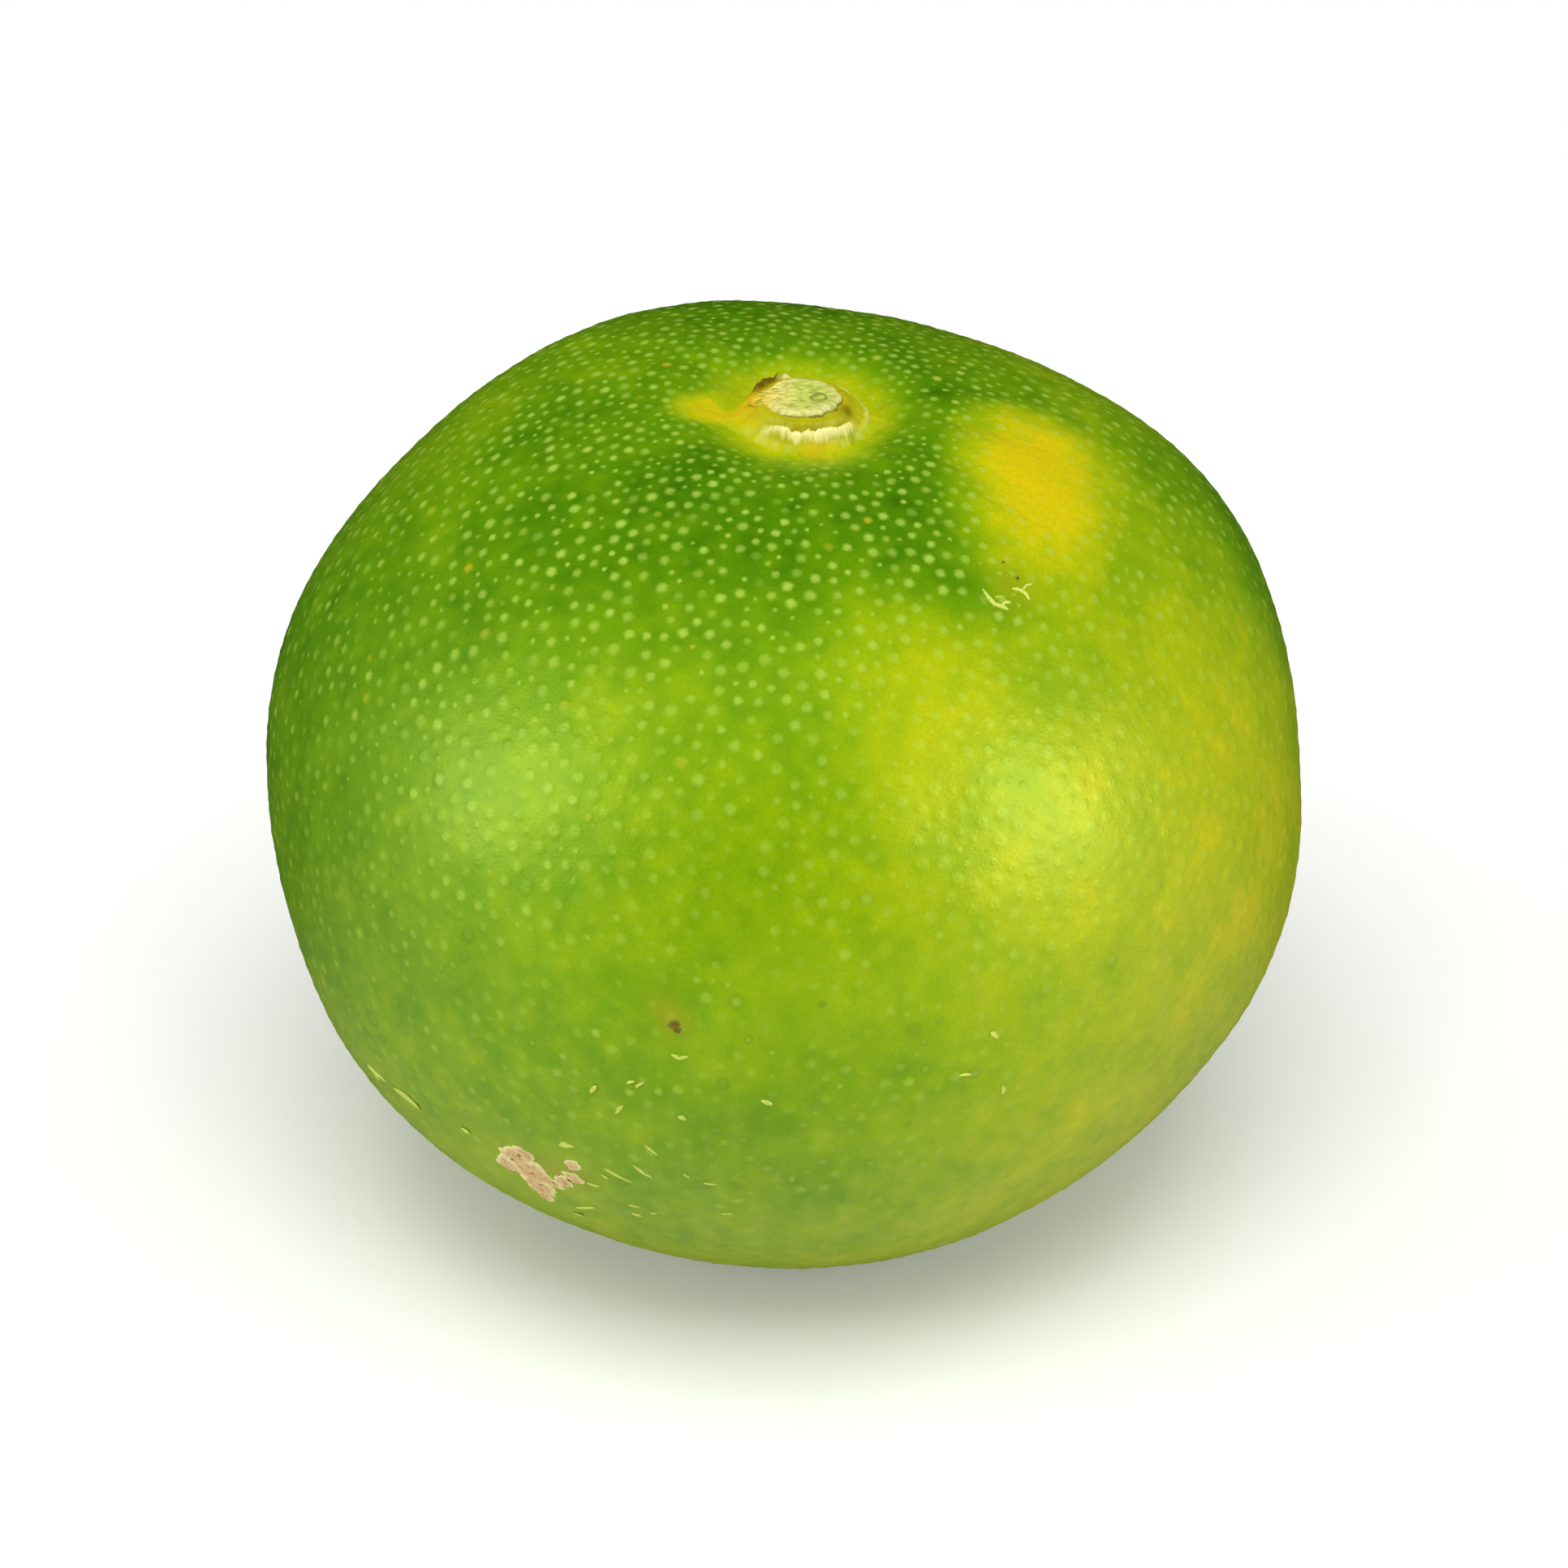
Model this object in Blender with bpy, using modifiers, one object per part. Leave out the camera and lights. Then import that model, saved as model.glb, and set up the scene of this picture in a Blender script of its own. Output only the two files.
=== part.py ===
"""A whole satsuma mandarin, early and still mostly green, standing on its blossom end.

Run it with: blender --background --python part.py

Metres, +Z up. The origin is on the surface that the fruit rests on, under the middle of its outline.
+Z runs from the blossom end up to the stem end, and -Y is the side that shows the yellow patches.

The fruit grew as one piece, so it is one solid. Two dry organs of the tree stay on its stem end:
the calyx, which is the flat star of five sepals, and the stub of the fruit stalk on top of it.
"""

import math

import bmesh
import bpy
import numpy as np

MM = 0.001

# Driving dimensions of the fruit, from its middle at the widest level
EQUATOR_RADIUS = 31.25 * MM
STEM_END_HEIGHT = 27.64 * MM
BLOSSOM_END_HEIGHT = 28.7 * MM
# 2 gives an ellipse, and more gives fuller shoulders
FULLNESS = 2.1

# Soft swellings over the segments: azimuth and elevation in degrees, spread in degrees, rise
SWELLINGS = {
    "right_shoulder": (18, 27, 22, 1.43 * MM),
    "far_crown": (124, 53, 22, 1.08 * MM),
    "left_flank": (173, 11, 22, 0.87 * MM),
    "left_heel": (-158, -31, 22, 0.61 * MM),
    "front_heel": (-66, -56, 22, 0.34 * MM),
    "right_flank": (-8, -13, 22, 1.00 * MM),
    "front_belly": (-96, 4, 27, 0.85 * MM),
    "back_shoulder": (72, 17, 25, 0.95 * MM),
    "back_heel": (118, -30, 24, 0.80 * MM),
}

# The stalk leaves the fruit a little to the right and in front of its middle
LEAN_RIGHT = math.radians(2.6)
LEAN_FORWARD = math.radians(1.5)
# A wide shallow basin round the stalk, and in it the flat seat of the calyx
BASIN_DEPTH = 0.70 * MM
BASIN_SPREAD = math.radians(20)
SEAT_DEPTH = 1.45 * MM
SEAT_SPREAD = math.radians(13.5)
# Faint creases that run from the calyx down the shoulders, one between each two segments
SEGMENTS = 10
CREASE_DEPTH = 0.16 * MM
CREASE_ANGLE = math.radians(22)
CREASE_SPREAD = math.radians(13)
# The segments aren't equally wide: waves per turn, size and phase of the creases' drift, in radians
CREASE_DRIFT = ((2, 0.16, 0.7), (3, 0.10, 0.0))

# The blossom end: a dimple that holds the scar of the style
DIMPLE_DEPTH = 1.55 * MM
DIMPLE_SPREAD = math.radians(6.2)
STYLE_SCAR_RISE = 0.70 * MM
STYLE_SCAR_SPREAD = math.radians(2.0)
# The skin gives under the fruit's weight, so this much of the blossom end is pressed flat
PRESSED_FLAT = 1.0 * MM
REST_LEVEL = BLOSSOM_END_HEIGHT - PRESSED_FLAT
# The skin bends into the flat over this height
FLAT_EDGE = 0.22 * MM
# Only directions below this height of the unit sphere can meet the rest level
LOWER_CAP = -0.5

# Calyx: direction and reach of each sepal's tip, round the stalk. The back ones are worn short
SEPALS = ((-78, 6.6 * MM), (-4, 5.7 * MM), (62, 5.3 * MM), (122, 5.5 * MM), (187, 6.4 * MM))
CALYX_RADIUS = 4.2 * MM
SEPAL_HALF_ANGLE = math.radians(26)
# 1 gives sepals with straight edges, and more gives slender tips
SEPAL_SLENDERNESS = 1.35
# The calyx is a plain disc out to this share of its radius, and the sepals part beyond it
ROUND_SHARE = 0.75
CALYX_THICKNESS = 0.75 * MM
CALYX_EDGE = 0.6 * MM
# The torn cream ridge in front of the stalk, as an arc round it
RIDGE_RISE = 0.50 * MM
RIDGE_RADIUS = 3.25 * MM
RIDGE_WIDTH = 0.50 * MM
RIDGE_AZIMUTH = math.radians(-85)
RIDGE_SPREAD = math.radians(50)

# Stub of the stalk, broken off just above the calyx: (radius, height) from its top down
STUB_PROFILE = (
    (0.00, 0.74),
    (0.30, 0.72),
    (0.50, 0.60),
    (1.00, 0.58),
    (1.60, 0.72),
    (2.05, 0.76),
    (2.30, 0.66),
    (2.38, 0.45),
    (2.52, 0.24),
    (2.65, 0.10),
    (2.60, 0.00),
    (0.00, 0.00),
)
STUB_STEPS = 28
# The stalk's section is a little wider across than it is deep
STUB_OVAL = (1.10, 0.90, 1.0)
STUB_OFFSET = (-0.45 * MM, 0.10 * MM)

# Neighbouring solids keep this gap
GAP = 0.3 * MM

FRUIT_MERIDIANS = 76
FRUIT_RINGS = 50
# The fruit's rings stand closer at both ends, where the small forms are
RING_CROWDING = 0.25
CALYX_MERIDIANS = 60
CALYX_RINGS = 24
# Allowance when a computed share or angle is compared with a whole one
ROUNDING = 1e-6


def bell(distance):
    """1 in the middle, 0.37 at a distance of 1, and almost nothing past 2."""
    return np.exp(-(distance**2))


def toward(azimuth, elevation):
    """Unit vector for an azimuth and an elevation in degrees."""
    turn, rise = math.radians(azimuth), math.radians(elevation)
    return np.array((math.cos(rise) * math.cos(turn), math.cos(rise) * math.sin(turn), math.sin(rise)))


def angle_to(directions, axis):
    return np.arccos(np.clip(directions @ axis, -1, 1))


def unit(vector):
    return vector / np.linalg.norm(vector)


# The stalk's own axes: rightwards, backwards and along the stalk
STEM_AXIS = unit(np.array((math.tan(LEAN_RIGHT), -math.tan(LEAN_FORWARD), 1.0)))
STEM_BACK = unit(np.cross(STEM_AXIS, (1.0, 0.0, 0.0)))
STEM_RIGHT = np.cross(STEM_BACK, STEM_AXIS)
BLOSSOM_AXIS = np.array((0.0, 0.0, -1.0))


def round_stem(directions):
    """Azimuth of each direction round the stem axis, 0 towards +X."""
    return np.arctan2(directions @ STEM_BACK, directions @ STEM_RIGHT)


def creases(directions):
    """Depth of the shallow creases, deepest a little way out from the calyx."""
    place = bell((angle_to(directions, STEM_AXIS) - CREASE_ANGLE) / CREASE_SPREAD)
    azimuth = round_stem(directions)
    drift = sum(size * np.sin(waves * azimuth + phase) for waves, size, phase in CREASE_DRIFT)
    return CREASE_DEPTH * place * (0.5 + 0.5 * np.cos(SEGMENTS * (azimuth + drift))) ** 2


def pressed_flat(height):
    """Height over the rest level once the fruit stands on it.

    Above the edge band it is unchanged and below the band it is 0. In between a parabola joins them.
    """
    bend = (height + FLAT_EDGE) ** 2 / (4 * FLAT_EDGE)
    return np.where(height > FLAT_EDGE, height, np.where(height < -FLAT_EDGE, 0.0, bend))


def skin_radius(directions):
    """Distance from the fruit's middle to its skin along each unit direction.

    The body is a superellipsoid with a lower stem half than blossom half. Bells raise the swellings
    and sink the basin at the stalk and the dimple at the blossom end, and the bottom is pressed flat.
    """
    across = np.hypot(directions[:, 0], directions[:, 1])
    up = directions[:, 2]
    half_height = np.where(up >= 0, STEM_END_HEIGHT, BLOSSOM_END_HEIGHT)
    terms = (across / EQUATOR_RADIUS) ** FULLNESS + (np.abs(up) / half_height) ** FULLNESS
    radius = terms ** (-1 / FULLNESS)
    for azimuth, elevation, spread, rise in SWELLINGS.values():
        away = angle_to(directions, toward(azimuth, elevation)) / math.radians(spread)
        radius += rise * bell(away)
    from_stem = angle_to(directions, STEM_AXIS)
    radius -= BASIN_DEPTH * bell(from_stem / BASIN_SPREAD)
    radius -= SEAT_DEPTH * bell((from_stem / SEAT_SPREAD) ** 2)
    radius -= creases(directions)
    from_blossom = angle_to(directions, BLOSSOM_AXIS)
    radius -= DIMPLE_DEPTH * bell(from_blossom / DIMPLE_SPREAD)
    radius += STYLE_SCAR_RISE * bell(from_blossom / STYLE_SCAR_SPREAD)
    low = up < LOWER_CAP
    height = pressed_flat(REST_LEVEL + radius[low] * up[low])
    radius[low] = (height - REST_LEVEL) / up[low]
    return radius


def on_skin(reach, azimuth, lift):
    """Points at a distance from the stalk along the skin, and lifted off it, round the stem axis."""
    polar = reach / (STEM_END_HEIGHT - BASIN_DEPTH - SEAT_DEPTH)
    local = np.stack((np.sin(polar) * np.cos(azimuth), np.sin(polar) * np.sin(azimuth), np.cos(polar)), 1)
    directions = local @ np.stack((STEM_RIGHT, STEM_BACK, STEM_AXIS))
    return directions * (skin_radius(directions) + lift)[:, None]


def sepal_reach(azimuth):
    """Outline of the calyx: a disc with five pointed sepals that widen to their bases."""
    reach = np.full(len(azimuth), CALYX_RADIUS)
    for tip, length in SEPALS:
        away = np.abs(np.angle(np.exp(1j * (azimuth - math.radians(tip)))))
        sepal = np.clip(1 - away / SEPAL_HALF_ANGLE, 0, 1) ** SEPAL_SLENDERNESS
        reach += (length - CALYX_RADIUS) * sepal
    return reach


def finish(name, hex_colour, roughness):
    """Principled material from an sRGB hex colour."""
    srgb = [int(hex_colour[i : i + 2], 16) / 255 for i in (0, 2, 4)]
    linear = [c / 12.92 if c <= 0.04045 else ((c + 0.055) / 1.055) ** 2.4 for c in srgb]
    material = bpy.data.materials.new(name)
    material.use_nodes = True
    shader = material.node_tree.nodes["Principled BSDF"]
    shader.inputs["Base Color"].default_value = (*linear, 1.0)
    shader.inputs["Roughness"].default_value = roughness
    shader.inputs["Metallic"].default_value = 0.0
    return material


def add(name, mesh, material, collection, parent):
    mesh.materials.append(material)
    mesh.shade_smooth()
    placed = bpy.data.objects.new(name, mesh)
    collection.objects.link(placed)
    placed.parent = parent
    return placed


def ball(name, meridians, rings):
    """A unit UV sphere as a mesh, with its vertices as an array of unit directions."""
    sphere = bmesh.new()
    bmesh.ops.create_uvsphere(sphere, u_segments=meridians, v_segments=rings, radius=1.0)
    mesh = bpy.data.meshes.new(name)
    sphere.to_mesh(mesh)
    sphere.free()
    directions = np.empty(len(mesh.vertices) * 3, np.float32)
    mesh.vertices.foreach_get("co", directions)
    return mesh, directions.reshape(-1, 3).astype(float)


def reshape(mesh, points):
    mesh.vertices.foreach_set("co", points.astype(np.float32).ravel())
    mesh.update()


def fruit_mesh():
    """The whole fruit: a UV sphere whose rings crowd towards both ends, moved out to the skin."""
    mesh, directions = ball("fruit", FRUIT_MERIDIANS, FRUIT_RINGS)
    polar = np.arccos(np.clip(directions[:, 2], -1, 1))
    azimuth = np.arctan2(directions[:, 1], directions[:, 0])
    crowded = polar - RING_CROWDING * np.sin(2 * polar)
    across = np.sin(crowded)
    directions = np.stack((across * np.cos(azimuth), across * np.sin(azimuth), np.cos(crowded)), 1)
    reshape(mesh, directions * skin_radius(directions)[:, None])
    return mesh


def calyx_mesh():
    """The five-pointed star: a sphere pressed flat, its upper half the face and its lower the back.

    A vertex's polar angle becomes its share of the way from the stalk to the sepals' outline.
    """
    mesh, directions = ball("calyx", CALYX_MERIDIANS, CALYX_RINGS)
    polar = np.arccos(np.clip(directions[:, 2], -1, 1))
    azimuth = np.arctan2(directions[:, 1], directions[:, 0])
    on_face = polar <= math.pi / 2 + ROUNDING
    share = 1 - np.abs(1 - polar / (math.pi / 2))
    pointed = np.clip((share - ROUND_SHARE) / (1 - ROUND_SHARE), 0, 1)
    reach = share * CALYX_RADIUS + pointed * (sepal_reach(azimuth) - CALYX_RADIUS)
    body = CALYX_THICKNESS + (CALYX_EDGE - CALYX_THICKNESS) * share
    around = np.angle(np.exp(1j * (azimuth - RIDGE_AZIMUTH)))
    ridge = RIDGE_RISE * bell((reach - RIDGE_RADIUS) / RIDGE_WIDTH) * bell((around / RIDGE_SPREAD) ** 2)
    at_rim = share > 1 - ROUNDING
    lift = np.where(on_face, GAP + body + ridge, GAP)
    lift = np.where(at_rim, GAP + CALYX_EDGE / 2, lift)
    reshape(mesh, on_skin(reach, azimuth, lift))
    return mesh


def stub_mesh():
    """Edge line of the stalk's stub, from the middle of its broken face down to its foot."""
    mesh = bpy.data.meshes.new("stem_stub")
    points = [(radius * MM, 0.0, height * MM) for radius, height in STUB_PROFILE]
    mesh.from_pydata(points, [(i, i + 1) for i in range(len(points) - 1)], [])
    return mesh


def turn_round(turned):
    screw = turned.modifiers.new("turned", "SCREW")
    screw.steps = STUB_STEPS
    screw.render_steps = STUB_STEPS
    screw.use_merge_vertices = True
    screw.merge_threshold = 0.01 * MM
    screw.use_smooth_shade = True


def clear_scene():
    for leftover in list(bpy.data.objects):
        bpy.data.objects.remove(leftover)


def build():
    clear_scene()
    collection = bpy.data.collections.new("satsuma_mandarin")
    bpy.context.scene.collection.children.link(collection)

    green_rind = finish("waxy_green_rind", "6F9A14", 0.42)
    dry_calyx = finish("olive_sepals", "A89C1E", 0.62)
    cut_stalk = finish("pale_stalk_pith", "D3D27A", 0.70)

    # The middle of the fruit's widest level, placed so that the outline is centred on the origin
    fruit = fruit_mesh()
    outline = np.array([vertex.co for vertex in fruit.vertices])
    centre = (outline.min(axis=0) + outline.max(axis=0)) / 2
    middle = bpy.data.objects.new("middle_of_fruit", None)
    middle.location = (-centre[0], -centre[1], REST_LEVEL)
    collection.objects.link(middle)

    add("fruit", fruit, green_rind, collection, middle)
    add("calyx", calyx_mesh(), dry_calyx, collection, middle)

    stub = add("stem_stub", stub_mesh(), cut_stalk, collection, middle)
    seat = on_skin(np.zeros(1), np.zeros(1), np.full(1, 2 * GAP + CALYX_THICKNESS))[0]
    stub.location = (seat[0] + STUB_OFFSET[0], seat[1] + STUB_OFFSET[1], seat[2])
    stub.rotation_euler = (LEAN_FORWARD, LEAN_RIGHT, 0.0)
    stub.scale = STUB_OVAL
    turn_round(stub)


build()
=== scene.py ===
# %% [markdown]
# # A satsuma mandarin, picked early
#
# This lesson dresses a plain solid model of one fruit. The solids give the size and the place of
# three things: the fruit, the calyx (the dry star of sepals at the stalk) and the broken stub of the
# stalk. Each gets a fine surface here, worked out with numpy, and a material built from nodes.
#
# Lengths are in millimetres until a surface is made. Blender itself works in metres.

# %% Load the solids
import math

import bmesh
import bpy
import numpy as np
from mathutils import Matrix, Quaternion, Vector


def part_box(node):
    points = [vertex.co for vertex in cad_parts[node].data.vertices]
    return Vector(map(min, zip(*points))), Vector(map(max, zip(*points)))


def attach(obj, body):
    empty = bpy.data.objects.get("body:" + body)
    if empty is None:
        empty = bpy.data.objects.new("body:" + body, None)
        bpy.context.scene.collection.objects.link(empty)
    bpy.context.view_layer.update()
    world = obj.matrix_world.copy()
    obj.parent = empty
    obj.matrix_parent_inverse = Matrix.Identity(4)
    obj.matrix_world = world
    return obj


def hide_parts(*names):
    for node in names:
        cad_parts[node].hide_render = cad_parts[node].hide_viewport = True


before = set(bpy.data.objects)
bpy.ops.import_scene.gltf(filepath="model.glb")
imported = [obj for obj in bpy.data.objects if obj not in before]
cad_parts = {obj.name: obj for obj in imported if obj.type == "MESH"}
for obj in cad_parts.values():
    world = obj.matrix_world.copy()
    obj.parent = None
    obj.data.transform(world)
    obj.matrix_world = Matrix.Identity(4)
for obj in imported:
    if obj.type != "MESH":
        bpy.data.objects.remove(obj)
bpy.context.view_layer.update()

MM = 0.001

# %% [markdown]
# ## The viewpoint
#
# The fruit stands on its blossom end and is seen from the front, about 32 degrees above the
# horizon, from not quite half a metre away. A long lens from that distance keeps the perspective of
# the picture and fills two thirds of the frame with the fruit.

# %% Camera
VIEW_RISE = math.radians(32)
VIEW_DISTANCE = 425.0
LENS = 158.0

toward_camera = np.array((0.0, -math.cos(VIEW_RISE), math.sin(VIEW_RISE)))
fruit_low, fruit_high = (np.array(corner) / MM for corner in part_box("fruit"))
fruit_middle = (fruit_low + fruit_high) / 2

camera = bpy.data.objects.new("camera", bpy.data.cameras.new("camera"))
camera.data.lens = LENS
camera.data.clip_start = 0.01
camera.data.clip_end = 20.0
camera.location = (fruit_middle + toward_camera * VIEW_DISTANCE) * MM
camera.rotation_euler = (math.pi / 2 - VIEW_RISE, 0.0, 0.0)
bpy.context.scene.collection.objects.link(camera)
bpy.context.scene.camera = camera
print("camera at", [round(place, 3) for place in camera.location])

# %% [markdown]
# ## Materials as node chains
#
# Every finish starts as a Principled shader. One small helper adds a node with its settings, and one
# sets or joins its inputs. Four more read what is painted on a mesh, multiply, stretch a number and
# mix two colours, and the last gives the finished material to its piece, so that a material reads
# from top to bottom like a recipe. Colours are the sRGB hex values that a paint program shows, and
# a function turns them into linear light.


# %% Colour and node helpers
def linear(hex_colour):
    """Linear RGBA of an sRGB hex colour: c / 12.92 in the darks, ((c + 0.055) / 1.055) ^ 2.4 above."""
    srgb = [int(hex_colour[i : i + 2], 16) / 255 for i in (1, 3, 5)]
    return (*(c / 12.92 if c <= 0.04045 else ((c + 0.055) / 1.055) ** 2.4 for c in srgb), 1.0)


def start_material(name):
    """A material with a Principled shader on its own, and the node tree to build on."""
    material = bpy.data.materials.new(name)
    material.use_nodes = True
    return material, material.node_tree


def set_inputs(node, **inputs):
    """Each input gets a value, or is joined to another node's output.

    An input is named by its label in lower case, with _ for a space, or by i and its number.
    """
    for label, value in inputs.items():
        if label[0] == "i" and label[1:].isdigit():
            socket = node.inputs[int(label[1:])]
        else:
            socket = next(s for s in node.inputs if s.name.lower().replace(" ", "_") == label)
        if isinstance(value, bpy.types.NodeSocket):
            node.id_data.links.new(value, socket)
        else:
            socket.default_value = value


def add_node(tree, kind, settings=None, **inputs):
    """A node of the kind, with its settings and its inputs."""
    node = tree.nodes.new("ShaderNode" + kind)
    for setting, value in (settings or {}).items():
        setattr(node, setting, value)
    set_inputs(node, **inputs)
    return node


def painted(tree, name, output="Fac"):
    """What is painted on a mesh under the name: numbers, or vectors with the output Vector."""
    return add_node(tree, "Attribute", {"attribute_name": name}).outputs[output]


def times(tree, one, other):
    """The product of two numbers."""
    return add_node(tree, "Math", {"operation": "MULTIPLY"}, i0=one, i1=other).outputs[0]


def stretched(tree, value, low, high, top=1.0, bottom=0.0, soft=False):
    """The bottom number where the value is low and the top one where it is high."""
    shape = {"interpolation_type": "SMOOTHSTEP" if soft else "LINEAR"}
    ends = {"from_min": low, "from_max": high, "to_min": bottom, "to_max": top}
    return add_node(tree, "MapRange", shape, value=value, **ends).outputs[0]


def mixed(tree, share, *colours, blend="MIX"):
    """The first colour where the share is 0 and the second where it is 1. A colour may be in hex."""
    first, second = (linear(colour) if isinstance(colour, str) else colour for colour in colours)
    settings = {"data_type": "RGBA", "blend_type": blend}
    return add_node(tree, "Mix", settings, i0=share, i6=first, i7=second).outputs[2]


def dress(made, material, colour, relief=None, **inputs):
    """Give a piece its material, with the colour, the relief in millimetres and the shader's values."""
    tree = material.node_tree
    if relief is not None:
        inputs["normal"] = add_node(tree, "Bump", strength=1.0, distance=MM, height=relief).outputs["Normal"]
    set_inputs(tree.nodes["Principled BSDF"], base_color=colour, **inputs)
    made.data.materials.append(material)
    print(material.name + ":", len(tree.nodes), "nodes")


WHITE, BLACK = (1.0, 1.0, 1.0, 1.0), (0.0, 0.0, 0.0, 1.0)

# %% [markdown]
# ## Floor and light
#
# The fruit stands on a pale table. The table glows for the camera alone, which makes it white in the
# picture and keeps its light from bleaching the underside. Its image in the wax goes dark behind the
# fruit, so that the rims of the fruit stay green. A large soft light above the camera gives the
# daylight, two weak ones light the flanks and a dim sky fills the shadows. Two tall softboxes at the
# sides only draw the broad highlights in the wax: they light nothing else, so their strength is set
# by the highlights alone. The daylight, the flank lights and the sky don't show in the wax.

# %% Floor
FLOOR_REACH = 3.0
TABLE_GLOW = 0.20
# Metres behind the fruit's middle between which the table's image in the wax goes dark
MIRRORED_FROM, MIRRORED_TO = -0.05, 0.02

board = bpy.data.meshes.new("table")
corners = [(x * FLOOR_REACH, y * FLOOR_REACH, 0) for x, y in ((-1, -1), (1, -1), (1, 1), (-1, 1))]
board.from_pydata(corners, [], [(0, 1, 2, 3)])
table = bpy.data.objects.new("table", board)
bpy.context.scene.collection.objects.link(table)

matt_board, tree = start_material("matt_white_board")
ray = add_node(tree, "LightPath").outputs
depth = add_node(tree, "SeparateXYZ", vector=add_node(tree, "TexCoord").outputs["Object"]).outputs["Y"]
hidden = stretched(tree, depth, MIRRORED_FROM, MIRRORED_TO)
hidden = times(tree, hidden, ray["Is Glossy Ray"])
board_colour = mixed(tree, hidden, "#EAEAE8", BLACK)
glow = times(tree, ray["Is Camera Ray"], TABLE_GLOW)
shine = {"emission_color": WHITE, "emission_strength": glow}
dress(table, matt_board, board_colour, roughness=0.9, specular_ior_level=0.2, **shine)

# %% Lights
# The wax takes blue out of what it mirrors, so its highlights come out white under a cool light
COOL_WHITE = (0.97, 1.0, 1.8)
SKY_STRENGTH = 0.28


def soft_light(name, azimuth, rise, tilt, distance, width, height, watts):
    """A rectangular light that faces the fruit's middle. Angles in degrees, lengths in millimetres."""
    lamp = bpy.data.lights.new(name, "AREA")
    lamp.shape = "RECTANGLE"
    lamp.size, lamp.size_y = width * MM, height * MM
    lamp.energy = watts
    placed = bpy.data.objects.new(name, lamp)
    turn, up = math.radians(azimuth), math.radians(rise)
    away = Vector((math.cos(up) * math.cos(turn), math.cos(up) * math.sin(turn), math.sin(up)))
    placed.location = (Vector(fruit_middle) + away * distance) * MM
    facing = away.to_track_quat("Z", "Y") @ Quaternion((0, 0, 1), math.radians(tilt))
    placed.rotation_euler = facing.to_euler()
    bpy.context.scene.collection.objects.link(placed)
    return placed


for lamp in (
    soft_light("daylight", -92, 68, 0, 2200, 1700, 1300, 40),
    soft_light("left_fill", -170, 14, 0, 900, 600, 500, 2.2),
    soft_light("right_fill", -15, 16, 0, 900, 600, 500, 1.5),
):
    lamp.visible_glossy = False
for softbox in (
    soft_light("left_softbox", -158, 23, -35, 650, 230, 470, 1.65),
    soft_light("right_softbox", -28, 19, 20, 650, 170, 390, 1.70),
):
    softbox.visible_diffuse = False
    softbox.data.color = COOL_WHITE

sky = bpy.data.worlds.new("dim_studio")
bpy.context.scene.world = sky
sky.use_nodes = True
set_inputs(sky.node_tree.nodes["Background"], color=WHITE, strength=SKY_STRENGTH)
sky.cycles_visibility.glossy = False
bpy.context.scene.view_settings.view_transform = "Standard"

# %% [markdown]
# ## The shape of the fruit
#
# A satsuma is a squashed ball, a little lower above its widest level than below it. Soft swellings
# mark where the segments are fullest. The stalk sits in a shallow basin with faint creases, and the
# blossom end has a dimple with the scar of the style. It could be sculpted by hand, but as a formula
# of the direction from the middle, any point of the skin can be asked for later: the rind, the
# sepals and the marks all lie on the same skin.

# %% Shape values
EQUATOR_RADIUS = 31.25
STEM_END_HEIGHT = 27.64
BLOSSOM_END_HEIGHT = 28.7
# 2 gives an ellipse, and more gives fuller shoulders
FULLNESS = 2.1
# Azimuth and elevation in degrees, spread in degrees, rise
SWELLINGS = {
    "right_shoulder": (18, 27, 22, 1.43),
    "far_crown": (124, 53, 22, 1.08),
    "left_flank": (173, 11, 22, 0.87),
    "left_heel": (-158, -31, 22, 0.61),
    "front_heel": (-66, -56, 22, 0.34),
    "right_flank": (-8, -13, 22, 1.00),
    "front_belly": (-96, 4, 27, 0.85),
    "back_shoulder": (72, 17, 25, 0.95),
    "back_heel": (118, -30, 24, 0.80),
}
LEAN_RIGHT = math.radians(2.6)
LEAN_FORWARD = math.radians(1.5)
BASIN_DEPTH, BASIN_SPREAD = 0.70, math.radians(20)
SEAT_DEPTH, SEAT_SPREAD = 1.45, math.radians(13.5)
SEGMENTS = 10
CREASE_DEPTH, CREASE_ANGLE, CREASE_SPREAD = 0.16, math.radians(22), math.radians(13)
CREASE_DRIFT = ((2, 0.16, 0.7), (3, 0.10, 0.0))
DIMPLE_DEPTH, DIMPLE_SPREAD = 1.55, math.radians(6.2)
STYLE_SCAR_RISE, STYLE_SCAR_SPREAD = 0.70, math.radians(2.0)
# The lowest millimetre is pressed flat with a soft edge, where the direction points low enough
PRESSED_FLAT, FLAT_EDGE, LOWER_CAP = 1.0, 0.22, -0.5
REST_LEVEL = BLOSSOM_END_HEIGHT - PRESSED_FLAT


# %% Shape functions
def bell(distance):
    """e ^ -(distance squared): 1 in the middle, 0.37 at a distance of 1, almost nothing past 2."""
    return np.exp(-(distance**2))


def toward(azimuth, elevation):
    """Unit vector for an azimuth and an elevation in degrees."""
    turn, rise = math.radians(azimuth), math.radians(elevation)
    return np.array((math.cos(rise) * math.cos(turn), math.cos(rise) * math.sin(turn), math.sin(rise)))


def unit(vectors):
    """The vectors, each divided by its length."""
    return vectors / np.linalg.norm(vectors, axis=-1, keepdims=True)


def angle_to(directions, axis):
    """Angle between unit directions and a unit axis, the arc cosine of their product."""
    return np.arccos(np.clip(directions @ axis, -1, 1))


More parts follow.
